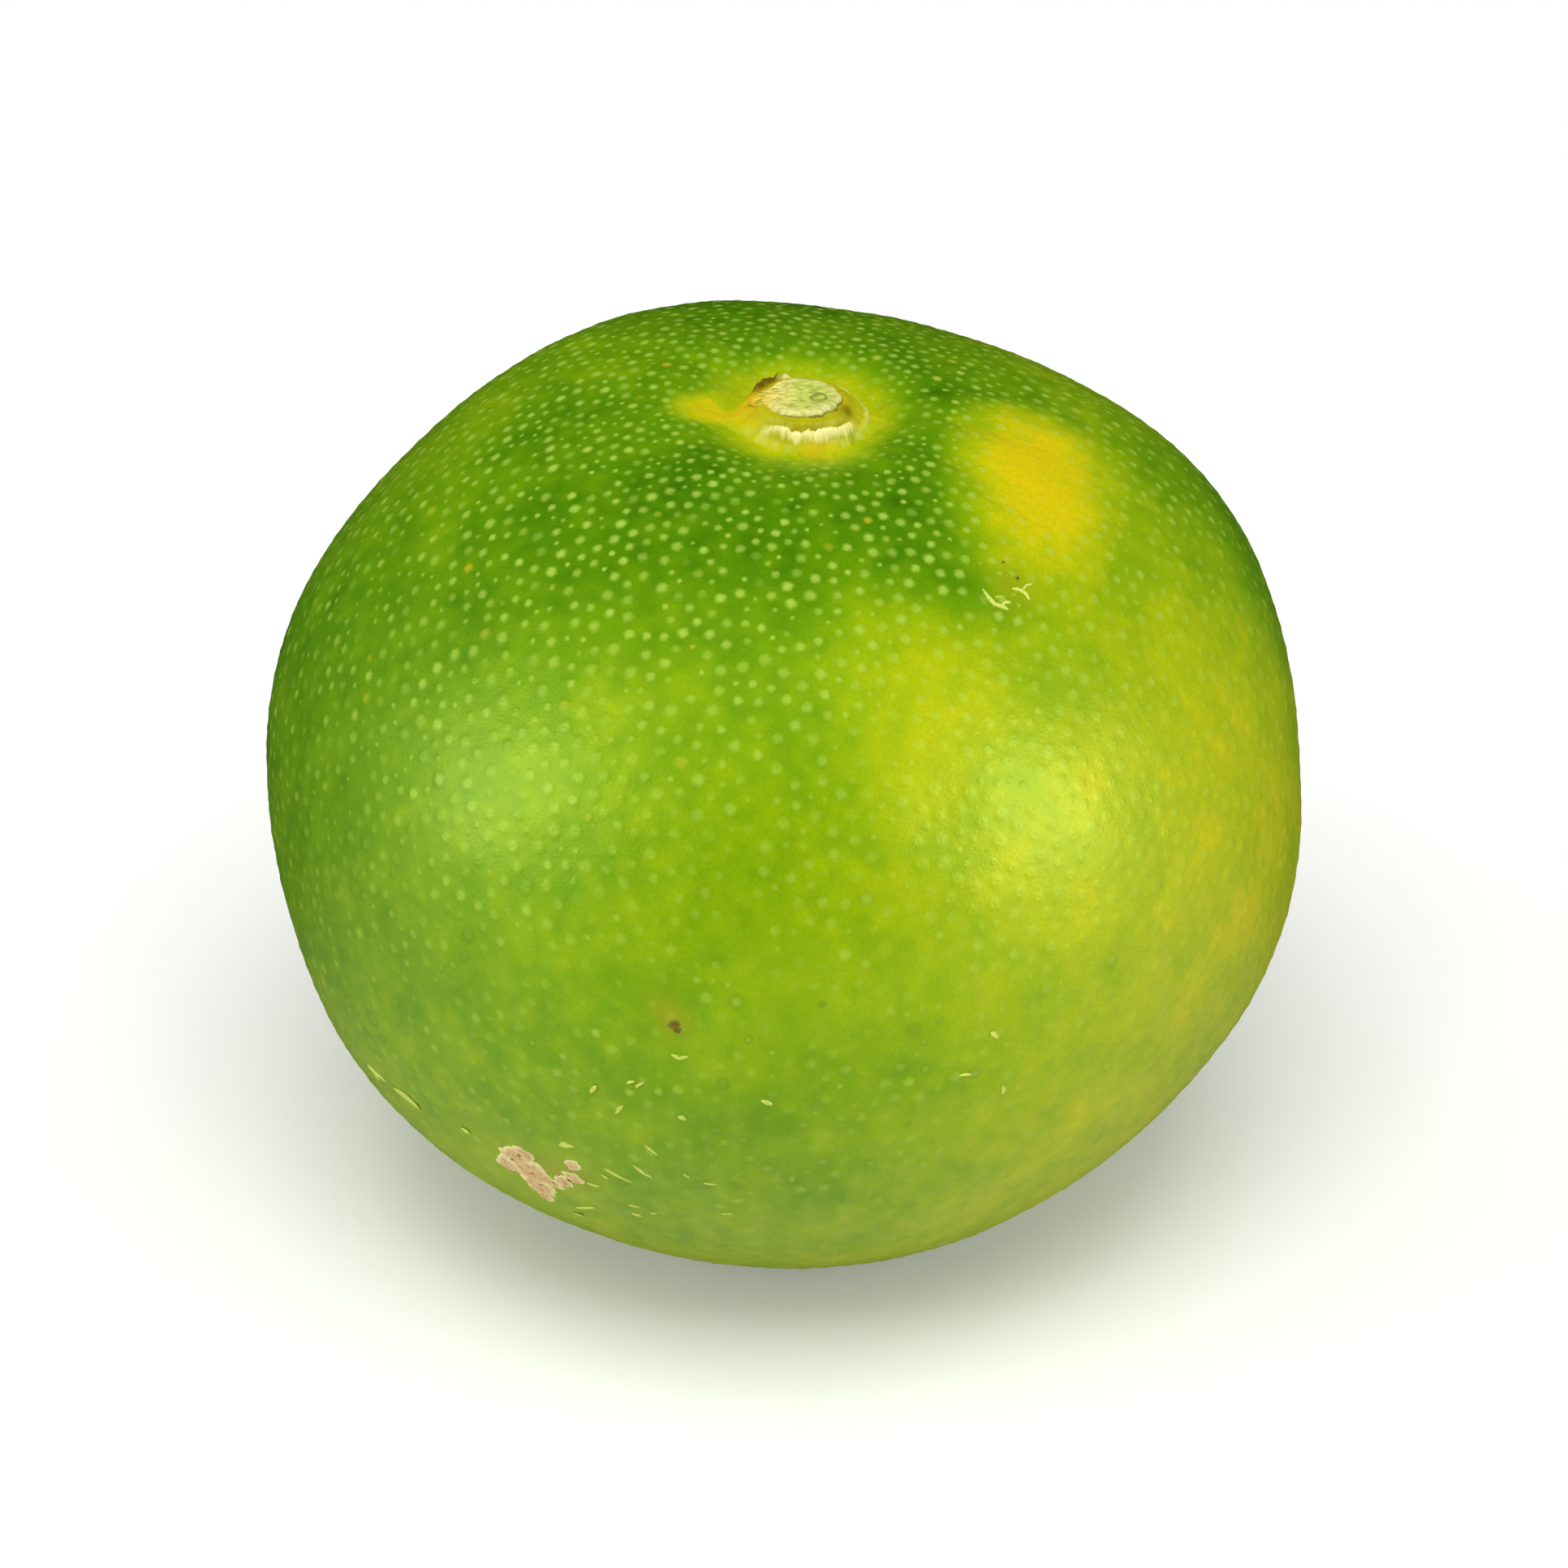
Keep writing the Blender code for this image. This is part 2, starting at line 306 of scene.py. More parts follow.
STEM_AXIS = unit(np.array((math.tan(LEAN_RIGHT), -math.tan(LEAN_FORWARD), 1.0)))
STEM_BACK = unit(np.cross(STEM_AXIS, (1.0, 0.0, 0.0)))
STEM_RIGHT = np.cross(STEM_BACK, STEM_AXIS)
BLOSSOM_AXIS = np.array((0.0, 0.0, -1.0))


def skin_radius(directions):
    """Distance from the fruit's middle to its skin along unit directions, in millimetres.

    With a the equator's radius, c the height of that half and q the fullness, the squashed ball is
    ((across / a) ^ q + (up / c) ^ q) ^ (-1 / q). A bell of the angle to a place is added for each
    swelling, and taken away for the basin, the calyx's seat, the creases and the blossom dimple.
    Below the rest level the height over it is flattened by a short parabola.
    """
    across = np.hypot(directions[:, 0], directions[:, 1])
    up = directions[:, 2]
    half_height = np.where(up >= 0, STEM_END_HEIGHT, BLOSSOM_END_HEIGHT)
    squashed = (across / EQUATOR_RADIUS) ** FULLNESS + (np.abs(up) / half_height) ** FULLNESS
    radius = squashed ** (-1 / FULLNESS)
    for azimuth, elevation, spread, rise in SWELLINGS.values():
        radius += rise * bell(angle_to(directions, toward(azimuth, elevation)) / math.radians(spread))
    from_stem = angle_to(directions, STEM_AXIS)
    radius -= BASIN_DEPTH * bell(from_stem / BASIN_SPREAD)
    radius -= SEAT_DEPTH * bell((from_stem / SEAT_SPREAD) ** 2)
    around = np.arctan2(directions @ STEM_BACK, directions @ STEM_RIGHT)
    drift = sum(size * np.sin(cycles * around + phase) for cycles, size, phase in CREASE_DRIFT)
    crease = (0.5 + 0.5 * np.cos(SEGMENTS * (around + drift))) ** 2
    radius -= CREASE_DEPTH * crease * bell((from_stem - CREASE_ANGLE) / CREASE_SPREAD)
    from_blossom = angle_to(directions, BLOSSOM_AXIS)
    radius -= DIMPLE_DEPTH * bell(from_blossom / DIMPLE_SPREAD)
    radius += STYLE_SCAR_RISE * bell(from_blossom / STYLE_SCAR_SPREAD)
    low = up < LOWER_CAP
    height = REST_LEVEL + radius[low] * up[low]
    bend = (height + FLAT_EDGE) ** 2 / (4 * FLAT_EDGE)
    height = np.where(height > FLAT_EDGE, height, np.where(height < -FLAT_EDGE, 0.0, bend))
    radius[low] = (height - REST_LEVEL) / up[low]
    return radius


# %% Fit the formula to the solid's box
PROBES = 60000


def golden_turns(count):
    """Angles that go round by the golden angle at each step, so that no two points line up."""
    return np.arange(count) * math.pi * (3 - math.sqrt(5))


def every_direction(count):
    """Unit directions spread evenly over a sphere: equal steps in height, golden steps round it."""
    height = 1 - 2 * (np.arange(count) + 0.5) / count
    turn = golden_turns(count)
    across = np.sqrt(1 - height**2)
    return np.stack((across * np.cos(turn), across * np.sin(turn), height), 1)


probes = every_direction(PROBES)
outline = probes * skin_radius(probes)[:, None]
outline_low, outline_high = outline.min(axis=0), outline.max(axis=0)
frame_scale = (fruit_high - fruit_low) / (outline_high - outline_low)
frame_shift = fruit_low - outline_low * frame_scale
print("formula against solid, scale:", frame_scale.round(4), "shift in mm:", frame_shift.round(3))


def in_frame(points):
    """Points given in millimetres from the fruit's middle, placed and sized as the solid is."""
    return points * frame_scale + frame_shift


# %% [markdown]
# ## The oil glands
#
# The rind is packed with oil glands. Each is a pale bead under the skin, 0.25 to 0.7 mm wide, that
# lifts it into a low dome. A cell texture could fake the dots, but its cells are cut from solid
# space, so they come in all shapes. Here every gland is a real place on the skin: points are spread
# evenly, shaken, and then pushed apart by their own sizes, the way growing glands crowd each other.
# They are smaller and closer at the stalk. The rind's mesh is then drawn between the glands.

# %% Scatter the glands
GLANDS = 7600
# Least and greatest radius of the small glands, then of the large ones
GLAND_RADII = (0.13, 0.20, 0.23, 0.35)
SMALL_SHARE = 0.26
STEM_CROWDING, STEM_SHRINK, STEM_SPREAD = 1.1, 0.30, math.radians(24)
# Shares of the mean spacing: how far the points are shaken, and how close two glands may stand
SHAKE, CLOSEST = 0.9, 0.95
# How much of that closeness follows from the two glands' sizes
SIZE_SHARE = 0.65
# Rounds with new neighbours, pushes in each, and the share of an overlap that a push takes away
SETTLINGS, PUSHES, PUSH_SHARE = 4, 6, 0.22
POLAR_STEPS = 4001
chance = np.random.default_rng(20)


def crowding(polar):
    """How much closer the glands stand than on the flanks: 1 plus a bell round the stalk."""
    return 1 + STEM_CROWDING * bell(polar / STEM_SPREAD)


def from_angles(polar, turn):
    """Unit directions at an angle from the z axis and a turn round it."""
    return np.stack((np.sin(polar) * np.cos(turn), np.sin(polar) * np.sin(turn), np.cos(polar)), -1)


def scatter(count):
    """Golden-angle points whose polar angles follow the running total of sin(polar) times crowding."""
    polar_steps = np.linspace(0, math.pi, POLAR_STEPS)
    total = np.cumsum(np.sin(polar_steps) * crowding(polar_steps))
    polar = np.interp((np.arange(count) + 0.5) / count, total / total[-1], polar_steps)
    return from_angles(polar, golden_turns(count))


def sides_of(triangles):
    """The two ends of every triangle's first side, then of every second side and every third."""
    return np.concatenate([triangles[:, [i, (i + 1) % 3]] for i in range(3)])


def neighbours(directions):
    """Triangles between neighbouring points of a sphere: the faces of their convex hull."""
    hull = bmesh.new()
    corners = [hull.verts.new(direction) for direction in directions]
    bmesh.ops.convex_hull(hull, input=corners)
    hull.verts.index_update()
    triangles = np.array([[corner.index for corner in face.verts] for face in hull.faces])
    hull.free()
    a, b, c = (directions[triangles[:, k]] for k in range(3))
    inward = np.einsum("ij,ij->i", np.cross(b - a, c - a), a + b + c) < 0
    triangles[inward] = triangles[inward][:, ::-1]
    return triangles


glands = scatter(GLANDS)
spacing = math.sqrt(4 * math.pi / GLANDS)
small = chance.random(GLANDS) < SMALL_SHARE
smallest = np.where(small, GLAND_RADII[0], GLAND_RADII[2])
largest = np.where(small, GLAND_RADII[1], GLAND_RADII[3])
gland_radius = smallest + (largest - smallest) * chance.random(GLANDS)
room = gland_radius / gland_radius.mean()
glands = unit(glands + SHAKE * spacing * chance.normal(size=(GLANDS, 3)) / math.sqrt(3))

for settling in range(SETTLINGS):
    triangles = neighbours(glands)
    one, other = np.unique(np.sort(sides_of(triangles), axis=1), axis=0).T
    polar = angle_to(glands, STEM_AXIS)
    want = CLOSEST * spacing * (1 - SIZE_SHARE + SIZE_SHARE * (room[one] + room[other]) / 2)
    want /= np.sqrt(crowding((polar[one] + polar[other]) / 2))
    for push in range(PUSHES):
        apart = glands[other] - glands[one]
        distance = np.linalg.norm(apart, axis=1)
        shove = PUSH_SHARE * np.clip(want - distance, 0, None)[:, None] * apart / distance[:, None]
        np.add.at(glands, other, shove)
        np.add.at(glands, one, -shove)
        glands = unit(glands)

triangles = neighbours(glands)
gland_from_stem = angle_to(glands, STEM_AXIS)
gland_radius *= 1 - STEM_SHRINK * bell(gland_from_stem / STEM_SPREAD)
print("glands:", len(glands), "triangles between them:", len(triangles))

# %% [markdown]
# ## The rind's surface
#
# Each triangle between three glands is cut into nine. That puts one vertex on the top of every
# gland, a ring of vertices round its foot and one in the middle of each gap, which is the least that
# shows a dome. Every small face also remembers the gland that it belongs to, so that the material
# can draw its exact round bead.


# %% Mesh helpers
def cut_in_nine(points, triangles):
    """Each triangle's edges are cut in three and its middle gets a point, which makes nine.

    Gives the points with the new ones after them, and the small triangles in order of their big one.
    """
    sides = sides_of(triangles)
    ordered = np.sort(sides, axis=1)
    edges, which = np.unique(ordered, axis=0, return_inverse=True)
    which = which.reshape(-1)
    first, last = points[edges[:, 0]], points[edges[:, 1]]
    thirds = np.concatenate(((2 * first + last) / 3, (first + 2 * last) / 3))
    middles = points[triangles].mean(axis=1)
    near_low = len(points) + which
    near_high = near_low + len(edges)
    forward = sides[:, 0] == ordered[:, 0]
    near_start = np.where(forward, near_low, near_high).reshape(3, -1)
    near_end = np.where(forward, near_high, near_low).reshape(3, -1)
    a, b, c = triangles.T
    middle = len(points) + 2 * len(edges) + np.arange(len(triangles))
    ab_a, bc_b, ca_c = near_start
    ab_b, bc_c, ca_a = near_end
    nine = (
        (a, ab_a, ca_a),
        (ab_a, ab_b, middle),
        (ab_b, b, bc_b),
        (ab_b, bc_b, middle),
        (ca_a, ab_a, middle),
        (ca_a, middle, ca_c),
        (middle, bc_b, bc_c),
        (middle, bc_c, ca_c),
        (ca_c, bc_c, c),
    )
    small_triangles = np.stack([np.stack(corners, 1) for corners in nine], 1).reshape(-1, 3)
    return np.concatenate((points, thirds, middles)), small_triangles


def surface(name, points, *face_arrays):
    """A mesh object at the origin, smooth shaded, from points in millimetres and arrays of faces."""
    mesh = bpy.data.meshes.new(name)
    faces = [face for face_array in face_arrays for face in face_array.tolist()]
    mesh.from_pydata((points * MM).tolist(), [], faces)
    mesh.shade_smooth()
    made = bpy.data.objects.new(name, mesh)
    bpy.context.scene.collection.objects.link(made)
    return made


def paint(made, name, values, domain="POINT"):
    """A number or a vector on each vertex or face, which a material reads with an Attribute node."""
    values = np.asarray(values, np.float32)
    kind, key = ("FLOAT", "value") if values.ndim == 1 else ("FLOAT_VECTOR", "vector")
    made.data.attributes.new(name, kind, domain).data.foreach_set(key, values.ravel())


def waves(points, widths, seed, count=24):
    """Soft noise from about -1 to 1: a mean of plane waves with random directions and phases."""
    draw = np.random.default_rng(seed)
    across = unit(draw.normal(size=(count, 3))) * 2 * math.pi / draw.uniform(*widths, size=(count, 1))
    return np.sin(points @ across.T + draw.uniform(0, 2 * math.pi, count)).sum(axis=1) / math.sqrt(2 * count)


# %% Rind mesh
DOME_HEIGHT = 0.045
LUMP_HEIGHT = 0.04
LUMP_WIDTHS = (3.0, 9.0)

fine, fine_triangles = cut_in_nine(glands, triangles)
directions = unit(fine)
owner_choices = np.repeat(triangles, 9, axis=0)
face_middles = directions[fine_triangles].mean(axis=1)
face_distances = np.linalg.norm(glands[owner_choices] - face_middles[:, None], axis=2)
face_distances -= gland_radius[owner_choices] / EQUATOR_RADIUS
owner = owner_choices[np.arange(len(owner_choices)), face_distances.argmin(axis=1)]

smooth_skin = directions * skin_radius(directions)[:, None]
relief = np.full(len(directions), -DOME_HEIGHT - LUMP_HEIGHT)
relief[: len(glands)] += DOME_HEIGHT * gland_radius / GLAND_RADII[3]
relief += LUMP_HEIGHT * np.clip(waves(smooth_skin, LUMP_WIDTHS, 5), -1, 1)
rind_points = in_frame(smooth_skin + directions * relief[:, None])
rind = surface("rind", rind_points, fine_triangles)
paint(rind, "gland_centre", rind_points[: len(glands)][owner] * MM, "FACE")
paint(rind, "gland_radius", gland_radius[owner], "FACE")
print("rind:", len(rind.data.vertices), "vertices,", len(rind.data.polygons), "triangles")

# %% [markdown]
# ## How ripe each place is
#
# The fruit turns from green to yellow in soft patches, first where the sun reached it. One number on
# each vertex says how ripe it is there: 0 is the dark green of the shaded crown, 1 is yellow. It is
# the sum of a base, named patches with soft or crisp edges, a halo round the calyx and small
# mottles. The material turns the number into colour, so a patch is moved by changing one line.

# %% Ripeness
BASE_RIPENESS = 0.78
# Azimuth and elevation in degrees, spread in degrees, change
SOFT_PATCHES = {
    "right_side": (-29, 13, 23, 0.16),
    "spot_tail": (-37, 51, 11, 0.52),
    "low_right": (-70, -23, 24, 0.37),
    "calyx_left": (178, 59, 8, -0.24),
    "front_crescent": (-75, 57, 32, -0.42),
    "left_side": (-164, 15, 42, -0.45),
    "upper_left": (-152, 62, 23, -0.34),
    "left_crown": (175, 61, 20, 0.26),
    "low_front": (-112, 0, 25, -0.19),
    "front_heel": (-78, -19, 26, -0.50),
    "right_crown": (8, 67, 12, -0.30),
    "right_edge": (11, 27, 19, -0.45),
    "back_crown": (95, 60, 34, -0.52),
    "back_left": (140, 5, 34, -0.46),
    "back_right": (55, -15, 30, -0.40),
    "back_spot": (92, 12, 15, 0.18),
}
CRISP_PATCHES = {
    "sunny_spot": (-12, 59, 11.5, 0.48),
    "sunny_front": (-27, 56, 11, 0.28),
    "sunny_back": (-4, 61, 8, 0.21),
    "crescent_right": (-36, 56, 17, -0.31),
    "front_glow": (-70, 43, 11, 0.28),
    "belly_glow": (-64, 27, 17, 0.15),
    "left_glow": (-111, 40, 8, 0.09),
    "amber_sepal": (188, 79, 3.5, 0.50),
}
HALO_CHANGE, HALO_ANGLE, HALO_EDGE = 0.68, math.radians(12.2), math.radians(1.6)
# Change, widths in millimetres, seed
MOTTLES = ((0.062, (3.5, 9.0), 41), (0.068, (1.0, 2.8), 42))
MOTTLE_WAVES = 64


def ripeness_at(directions):
    """The base, plus a bell for each patch, plus a halo round the calyx, plus mottles.

    The bell's argument is squared for a crisp patch. The halo ends in a soft step.
    """
    ripeness = np.full(len(directions), BASE_RIPENESS)
    for patches, power in ((SOFT_PATCHES, 1), (CRISP_PATCHES, 2)):
        for azimuth, elevation, spread, change in patches.values():
            away = angle_to(directions, toward(azimuth, elevation)) / math.radians(spread)
            ripeness += change * bell(away**power)
    from_stem = angle_to(directions, STEM_AXIS)
    ripeness += HALO_CHANGE / (1 + np.exp((from_stem - HALO_ANGLE) / HALO_EDGE))
    for size, widths, seed in MOTTLES:
        ripeness += size * waves(directions * EQUATOR_RADIUS, widths, seed, MOTTLE_WAVES)
    return ripeness


rind_ripeness = ripeness_at(directions)
paint(rind, "ripeness", rind_ripeness)
print("ripeness from", rind_ripeness.min().round(2), "to", rind_ripeness.max().round(2))

# %% [markdown]
# ## How clearly each gland shows
#
# The beads are clear dots on the green crown. They fade on the ripe patches and towards the
# underside, and no two are alike. So every gland gets a strength of its own. A few get an ochre
# tinge where their oil has dried. Some below the crown sit in small hollows that the mesh doesn't
# have, and a dark green ring is painted round them as the shade of the hollow.

# %% Gland strengths
MEAN_STRENGTH, STRENGTH_SPREAD = 0.78, 0.24
# The second share is of glands with a painted shade ring, which stands in for a hollow
OCHRE_SHARE, HOLLOW_SHADE_SHARE = 0.02, 0.14
# How clearly a bead shows, by its angle from the stalk in degrees and by ripeness
SHOW_ANGLES = (0, 12, 18, 42, 60, 80, 110, 180)
SHOW_AT_ANGLES = (0.2, 0.6, 1.0, 0.92, 0.55, 0.38, 0.33, 0.28)
SHOW_RIPENESSES, SHOW_WHEN_RIPE = (0.25, 0.6, 1.0, 1.15), (1.0, 0.72, 0.42, 0.12)

stem_degrees = np.degrees(gland_from_stem)
gland_ripeness = ripeness_at(glands)
gland_places = glands * EQUATOR_RADIUS
own_strength = np.clip(chance.normal(MEAN_STRENGTH, STRENGTH_SPREAD, GLANDS), 0.15, 1.1)
by_height = np.interp(stem_degrees, SHOW_ANGLES, SHOW_AT_ANGLES)
by_ripeness = np.interp(gland_ripeness, SHOW_RIPENESSES, SHOW_WHEN_RIPE)
patchy = np.clip(0.95 + 1.1 * waves(gland_places, (1.5, 5.0), 73), 0.15, 1.9)
low_down = np.interp(stem_degrees, (45, 80), (0, 1))
gland_show = own_strength * by_height * by_ripeness * (1 + (patchy - 1) * low_down)
gland_ochre = (chance.random(GLANDS) < OCHRE_SHARE) * chance.uniform(0.3, 0.9, GLANDS)
# Painted shade: clusters of glands below the crown get a dark ring for the hollow they sit in
clusters = np.clip(0.5 + waves(gland_places, (4.0, 9.0), 71), 0, 1) * 2 * HOLLOW_SHADE_SHARE
below_crown = np.interp(stem_degrees, (60, 85, 115, 130), (0, 1, 1, 0.2))
gland_hollow_shade = (chance.random(GLANDS) < clusters * below_crown) * chance.uniform(0.4, 1.0, GLANDS)
gland_hollow_shade *= np.interp(gland_ripeness, (0.55, 0.75), (1.0, 0.2))
for name, values in (("show", gland_show), ("ochre", gland_ochre), ("hollow_shade", gland_hollow_shade)):
    paint(rind, "gland_" + name, values[owner], "FACE")
print("glands with an ochre tinge:", np.count_nonzero(gland_ochre), "sunken:", np.count_nonzero(gland_hollow_shade))

# %% [markdown]
# ## Streaks
#
# Towards the blossom end the skin is drawn out in pale threads along the segments. A vector on each
# vertex turns fast round the fruit and slowly up it, so noise read at that vector comes out as
# streaks.

# %% Streak coordinates
STREAK_TURN, STREAK_RISE = 26.0, 5.0

around = unit(directions[:, :2] + 1e-9)
paint(rind, "streak_place", np.column_stack((around * STREAK_TURN, directions[:, 2] * STREAK_RISE)))
low = np.interp(directions[:, 2], (-0.9, -0.3, 0.3), (1.0, 0.8, 0.0))
paint(rind, "streak_show", low * np.interp(directions[:, 0], (-0.5, 0.4), (0.35, 1.0)))
print("share of the vertices with streaks:", (low > 0).mean().round(2))

# %% [markdown]
# ## Waxy green rind
#
# The rind is a tough skin with a thin natural wax, so it has a soft, broad gloss and not a mirror's.
# The green is deep because the blue of the light is lost in it. The glands are paler than the skin
# between them, and the difference fades where the fruit is ripe.

# %% Rind colour
RIPENESS_COLOURS = (
    (0.00, "#2F6200"),
    (0.16, "#4F8800"),
    (0.34, "#6FA000"),
    (0.52, "#97B600"),
    (0.70, "#BAC600"),
    (0.86, "#DED000"),
    (1.00, "#E8CE00"),
)
RIPEST = 1.25
# The third colour is painted shade, the dark ring round a gland in a hollow
GLAND_COLOUR, OCHRE_COLOUR, HOLLOW_SHADE_COLOUR = "#B4D64E", "#C8B40A", "#3E7400"
STREAK_COLOUR, GRAIN_COLOUR, STAIN_COLOUR = "#C4CE5A", "#B4C08C", "#B09A1E"


def colour_ramp(tree, share, colours):
    """A ramp through the colours, whose first two stops are the ones that a new ramp comes with."""
    ramp = add_node(tree, "ValToRGB", fac=share)
    stops = ramp.color_ramp.elements
    for index, (position, colour) in enumerate(colours):
        stop = stops[index] if index < 2 else stops.new(position)
        stop.position, stop.color = position, linear(colour)
    return ramp.outputs["Color"]


def ripeness_colour(tree):
    """Colour of the ripeness painted on a mesh, read from a ramp."""
    ripe = painted(tree, "ripeness")
    share = add_node(tree, "Math", {"operation": "DIVIDE"}, i0=ripe, i1=RIPEST).outputs[0]
    return colour_ramp(tree, share, RIPENESS_COLOURS)


waxy_rind, tree = start_material("waxy_citrus_rind")
place = add_node(tree, "TexCoord").outputs["Object"]
skin = ripeness_colour(tree)

# %% Streak colour
streak_place = painted(tree, "streak_place", "Vector")
streak_show = painted(tree, "streak_show")
streak = add_node(tree, "TexNoise", scale=1.0, detail=3.0, roughness=0.6, vector=streak_place).outputs["Fac"]
streak = stretched(tree, streak, 0.5, 0.72, 0.35)
streak = times(tree, streak, streak_show)
skin = mixed(tree, streak, skin, STREAK_COLOUR)

# %% Gland colour
# Millimetres, and a share of the bead's radius
PORE_WIDTH, UNEVENNESS = 0.2, 0.12

bead_centre = painted(tree, "gland_centre", "Vector")
gland = {name: painted(tree, "gland_" + name) for name in ("radius", "show", "ochre", "hollow_shade")}

# Fine dark grain
pores = add_node(tree, "TexNoise", scale=1 / (PORE_WIDTH * MM), detail=1.0, vector=place).outputs["Fac"]
grain = stretched(tree, pores, 0.35, 0.65, 0.20)
skin = mixed(tree, grain, skin, GRAIN_COLOUR, blend="MULTIPLY")

# Distance from the gland's centre as a share of its radius, made uneven by the same noise
offset = add_node(tree, "VectorMath", {"operation": "DISTANCE"}, i0=place, i1=bead_centre).outputs["Value"]
radius = times(tree, gland["radius"], MM)
reach = add_node(tree, "Math", {"operation": "DIVIDE"}, i0=offset, i1=radius).outputs[0]
uneven = stretched(tree, pores, 0.3, 0.7, UNEVENNESS, -UNEVENNESS)
reach = add_node(tree, "Math", {"operation": "ADD"}, i0=reach, i1=uneven).outputs[0]

# A dark green ring painted as the shade of a gland's hollow lies under its bead
rim = stretched(tree, reach, 2.2, 0.9, 0.40, soft=True)
rim = times(tree, rim, gland["hollow_shade"])
skin = mixed(tree, rim, skin, HOLLOW_SHADE_COLOUR)
bead = stretched(tree, reach, 1.5, 0.35, 0.8, soft=True)
bead = times(tree, bead, gland["show"])
oil = mixed(tree, gland["ochre"], GLAND_COLOUR, OCHRE_COLOUR)
skin = mixed(tree, bead, skin, oil)

# %% [markdown]
# ## Stains
#
# Round a scar or a brown spot the skin itself is tinged. A number on each vertex, a bell of the
# distance to the mark, is enough for an edge this soft.

# %% Stain colour
# Azimuth and elevation in degrees, spread in millimetres, strength
STAINS = (
    (-122.0, -23.5, 2.0, 0.55),
    (-116.0, -21.0, 1.6, 0.40),
    (-101.3, 4.9, 0.9, 0.55),
    (-102.8, 7.0, 0.9, 0.30),
    (-46.5, 48.5, 1.6, 0.25),
    (63.0, -13.0, 1.4, 0.50),
    (141.0, 34.0, 0.9, 0.45),
    (0.0, -90.0, 2.6, 0.60),
)

stain = np.zeros(len(directions))
for azimuth, elevation, spread, strength in STAINS:
    stain += strength * bell(angle_to(directions, toward(azimuth, elevation)) * EQUATOR_RADIUS / spread)
paint(rind, "stain", np.clip(stain, 0, 1))
stained = painted(tree, "stain")
skin = mixed(tree, stained, skin, STAIN_COLOUR)
print("stains:", len(STAINS), "on", np.count_nonzero(stain > 0.1), "vertices")

# %% [markdown]
# ## Gloss and fine relief
#
# The wax is thin, so the gloss is broad. Each bead pushes the skin up and has a small pit on top,
# and pores a fifth of a millimetre wide break up the reflection. The gloss is tinted yellow-green,
# because what it mirrors has passed through the oily wax, and that keeps the greens pure.

# %% Rind relief and gloss
# Heights in millimetres
DOME_SHOWN, PIT_SHOWN, PORE_SHOWN = 0.019, 0.010, 0.015
OILY_TINT = (0.80, 1.0, 0.10, 1.0)

dome = stretched(tree, reach, 1.8, 0.3, DOME_SHOWN, soft=True)
pit = stretched(tree, reach, 0.5, 0.0, -PIT_SHOWN, soft=True)
height = add_node(tree, "Math", {"operation": "ADD"}, i0=dome, i1=pit).outputs[0]
height = add_node(tree, "Math", {"operation": "MULTIPLY_ADD"}, i0=pores, i1=PORE_SHOWN, i2=height).outputs[0]
gloss = {"roughness": 0.40, "ior": 1.5, "specular_ior_level": 1.0, "specular_tint": OILY_TINT}
dress(rind, waxy_rind, skin, height, **gloss)

# %% [markdown]
# ## Scratches and flecks
#
# Old scratches have healed into thin cream ridges of cork. They are too fine for the rind's mesh, so
# each is a small closed body of its own, lofted along a short path on the skin: six points round, a
# taper at both ends, and the underside just in the skin.

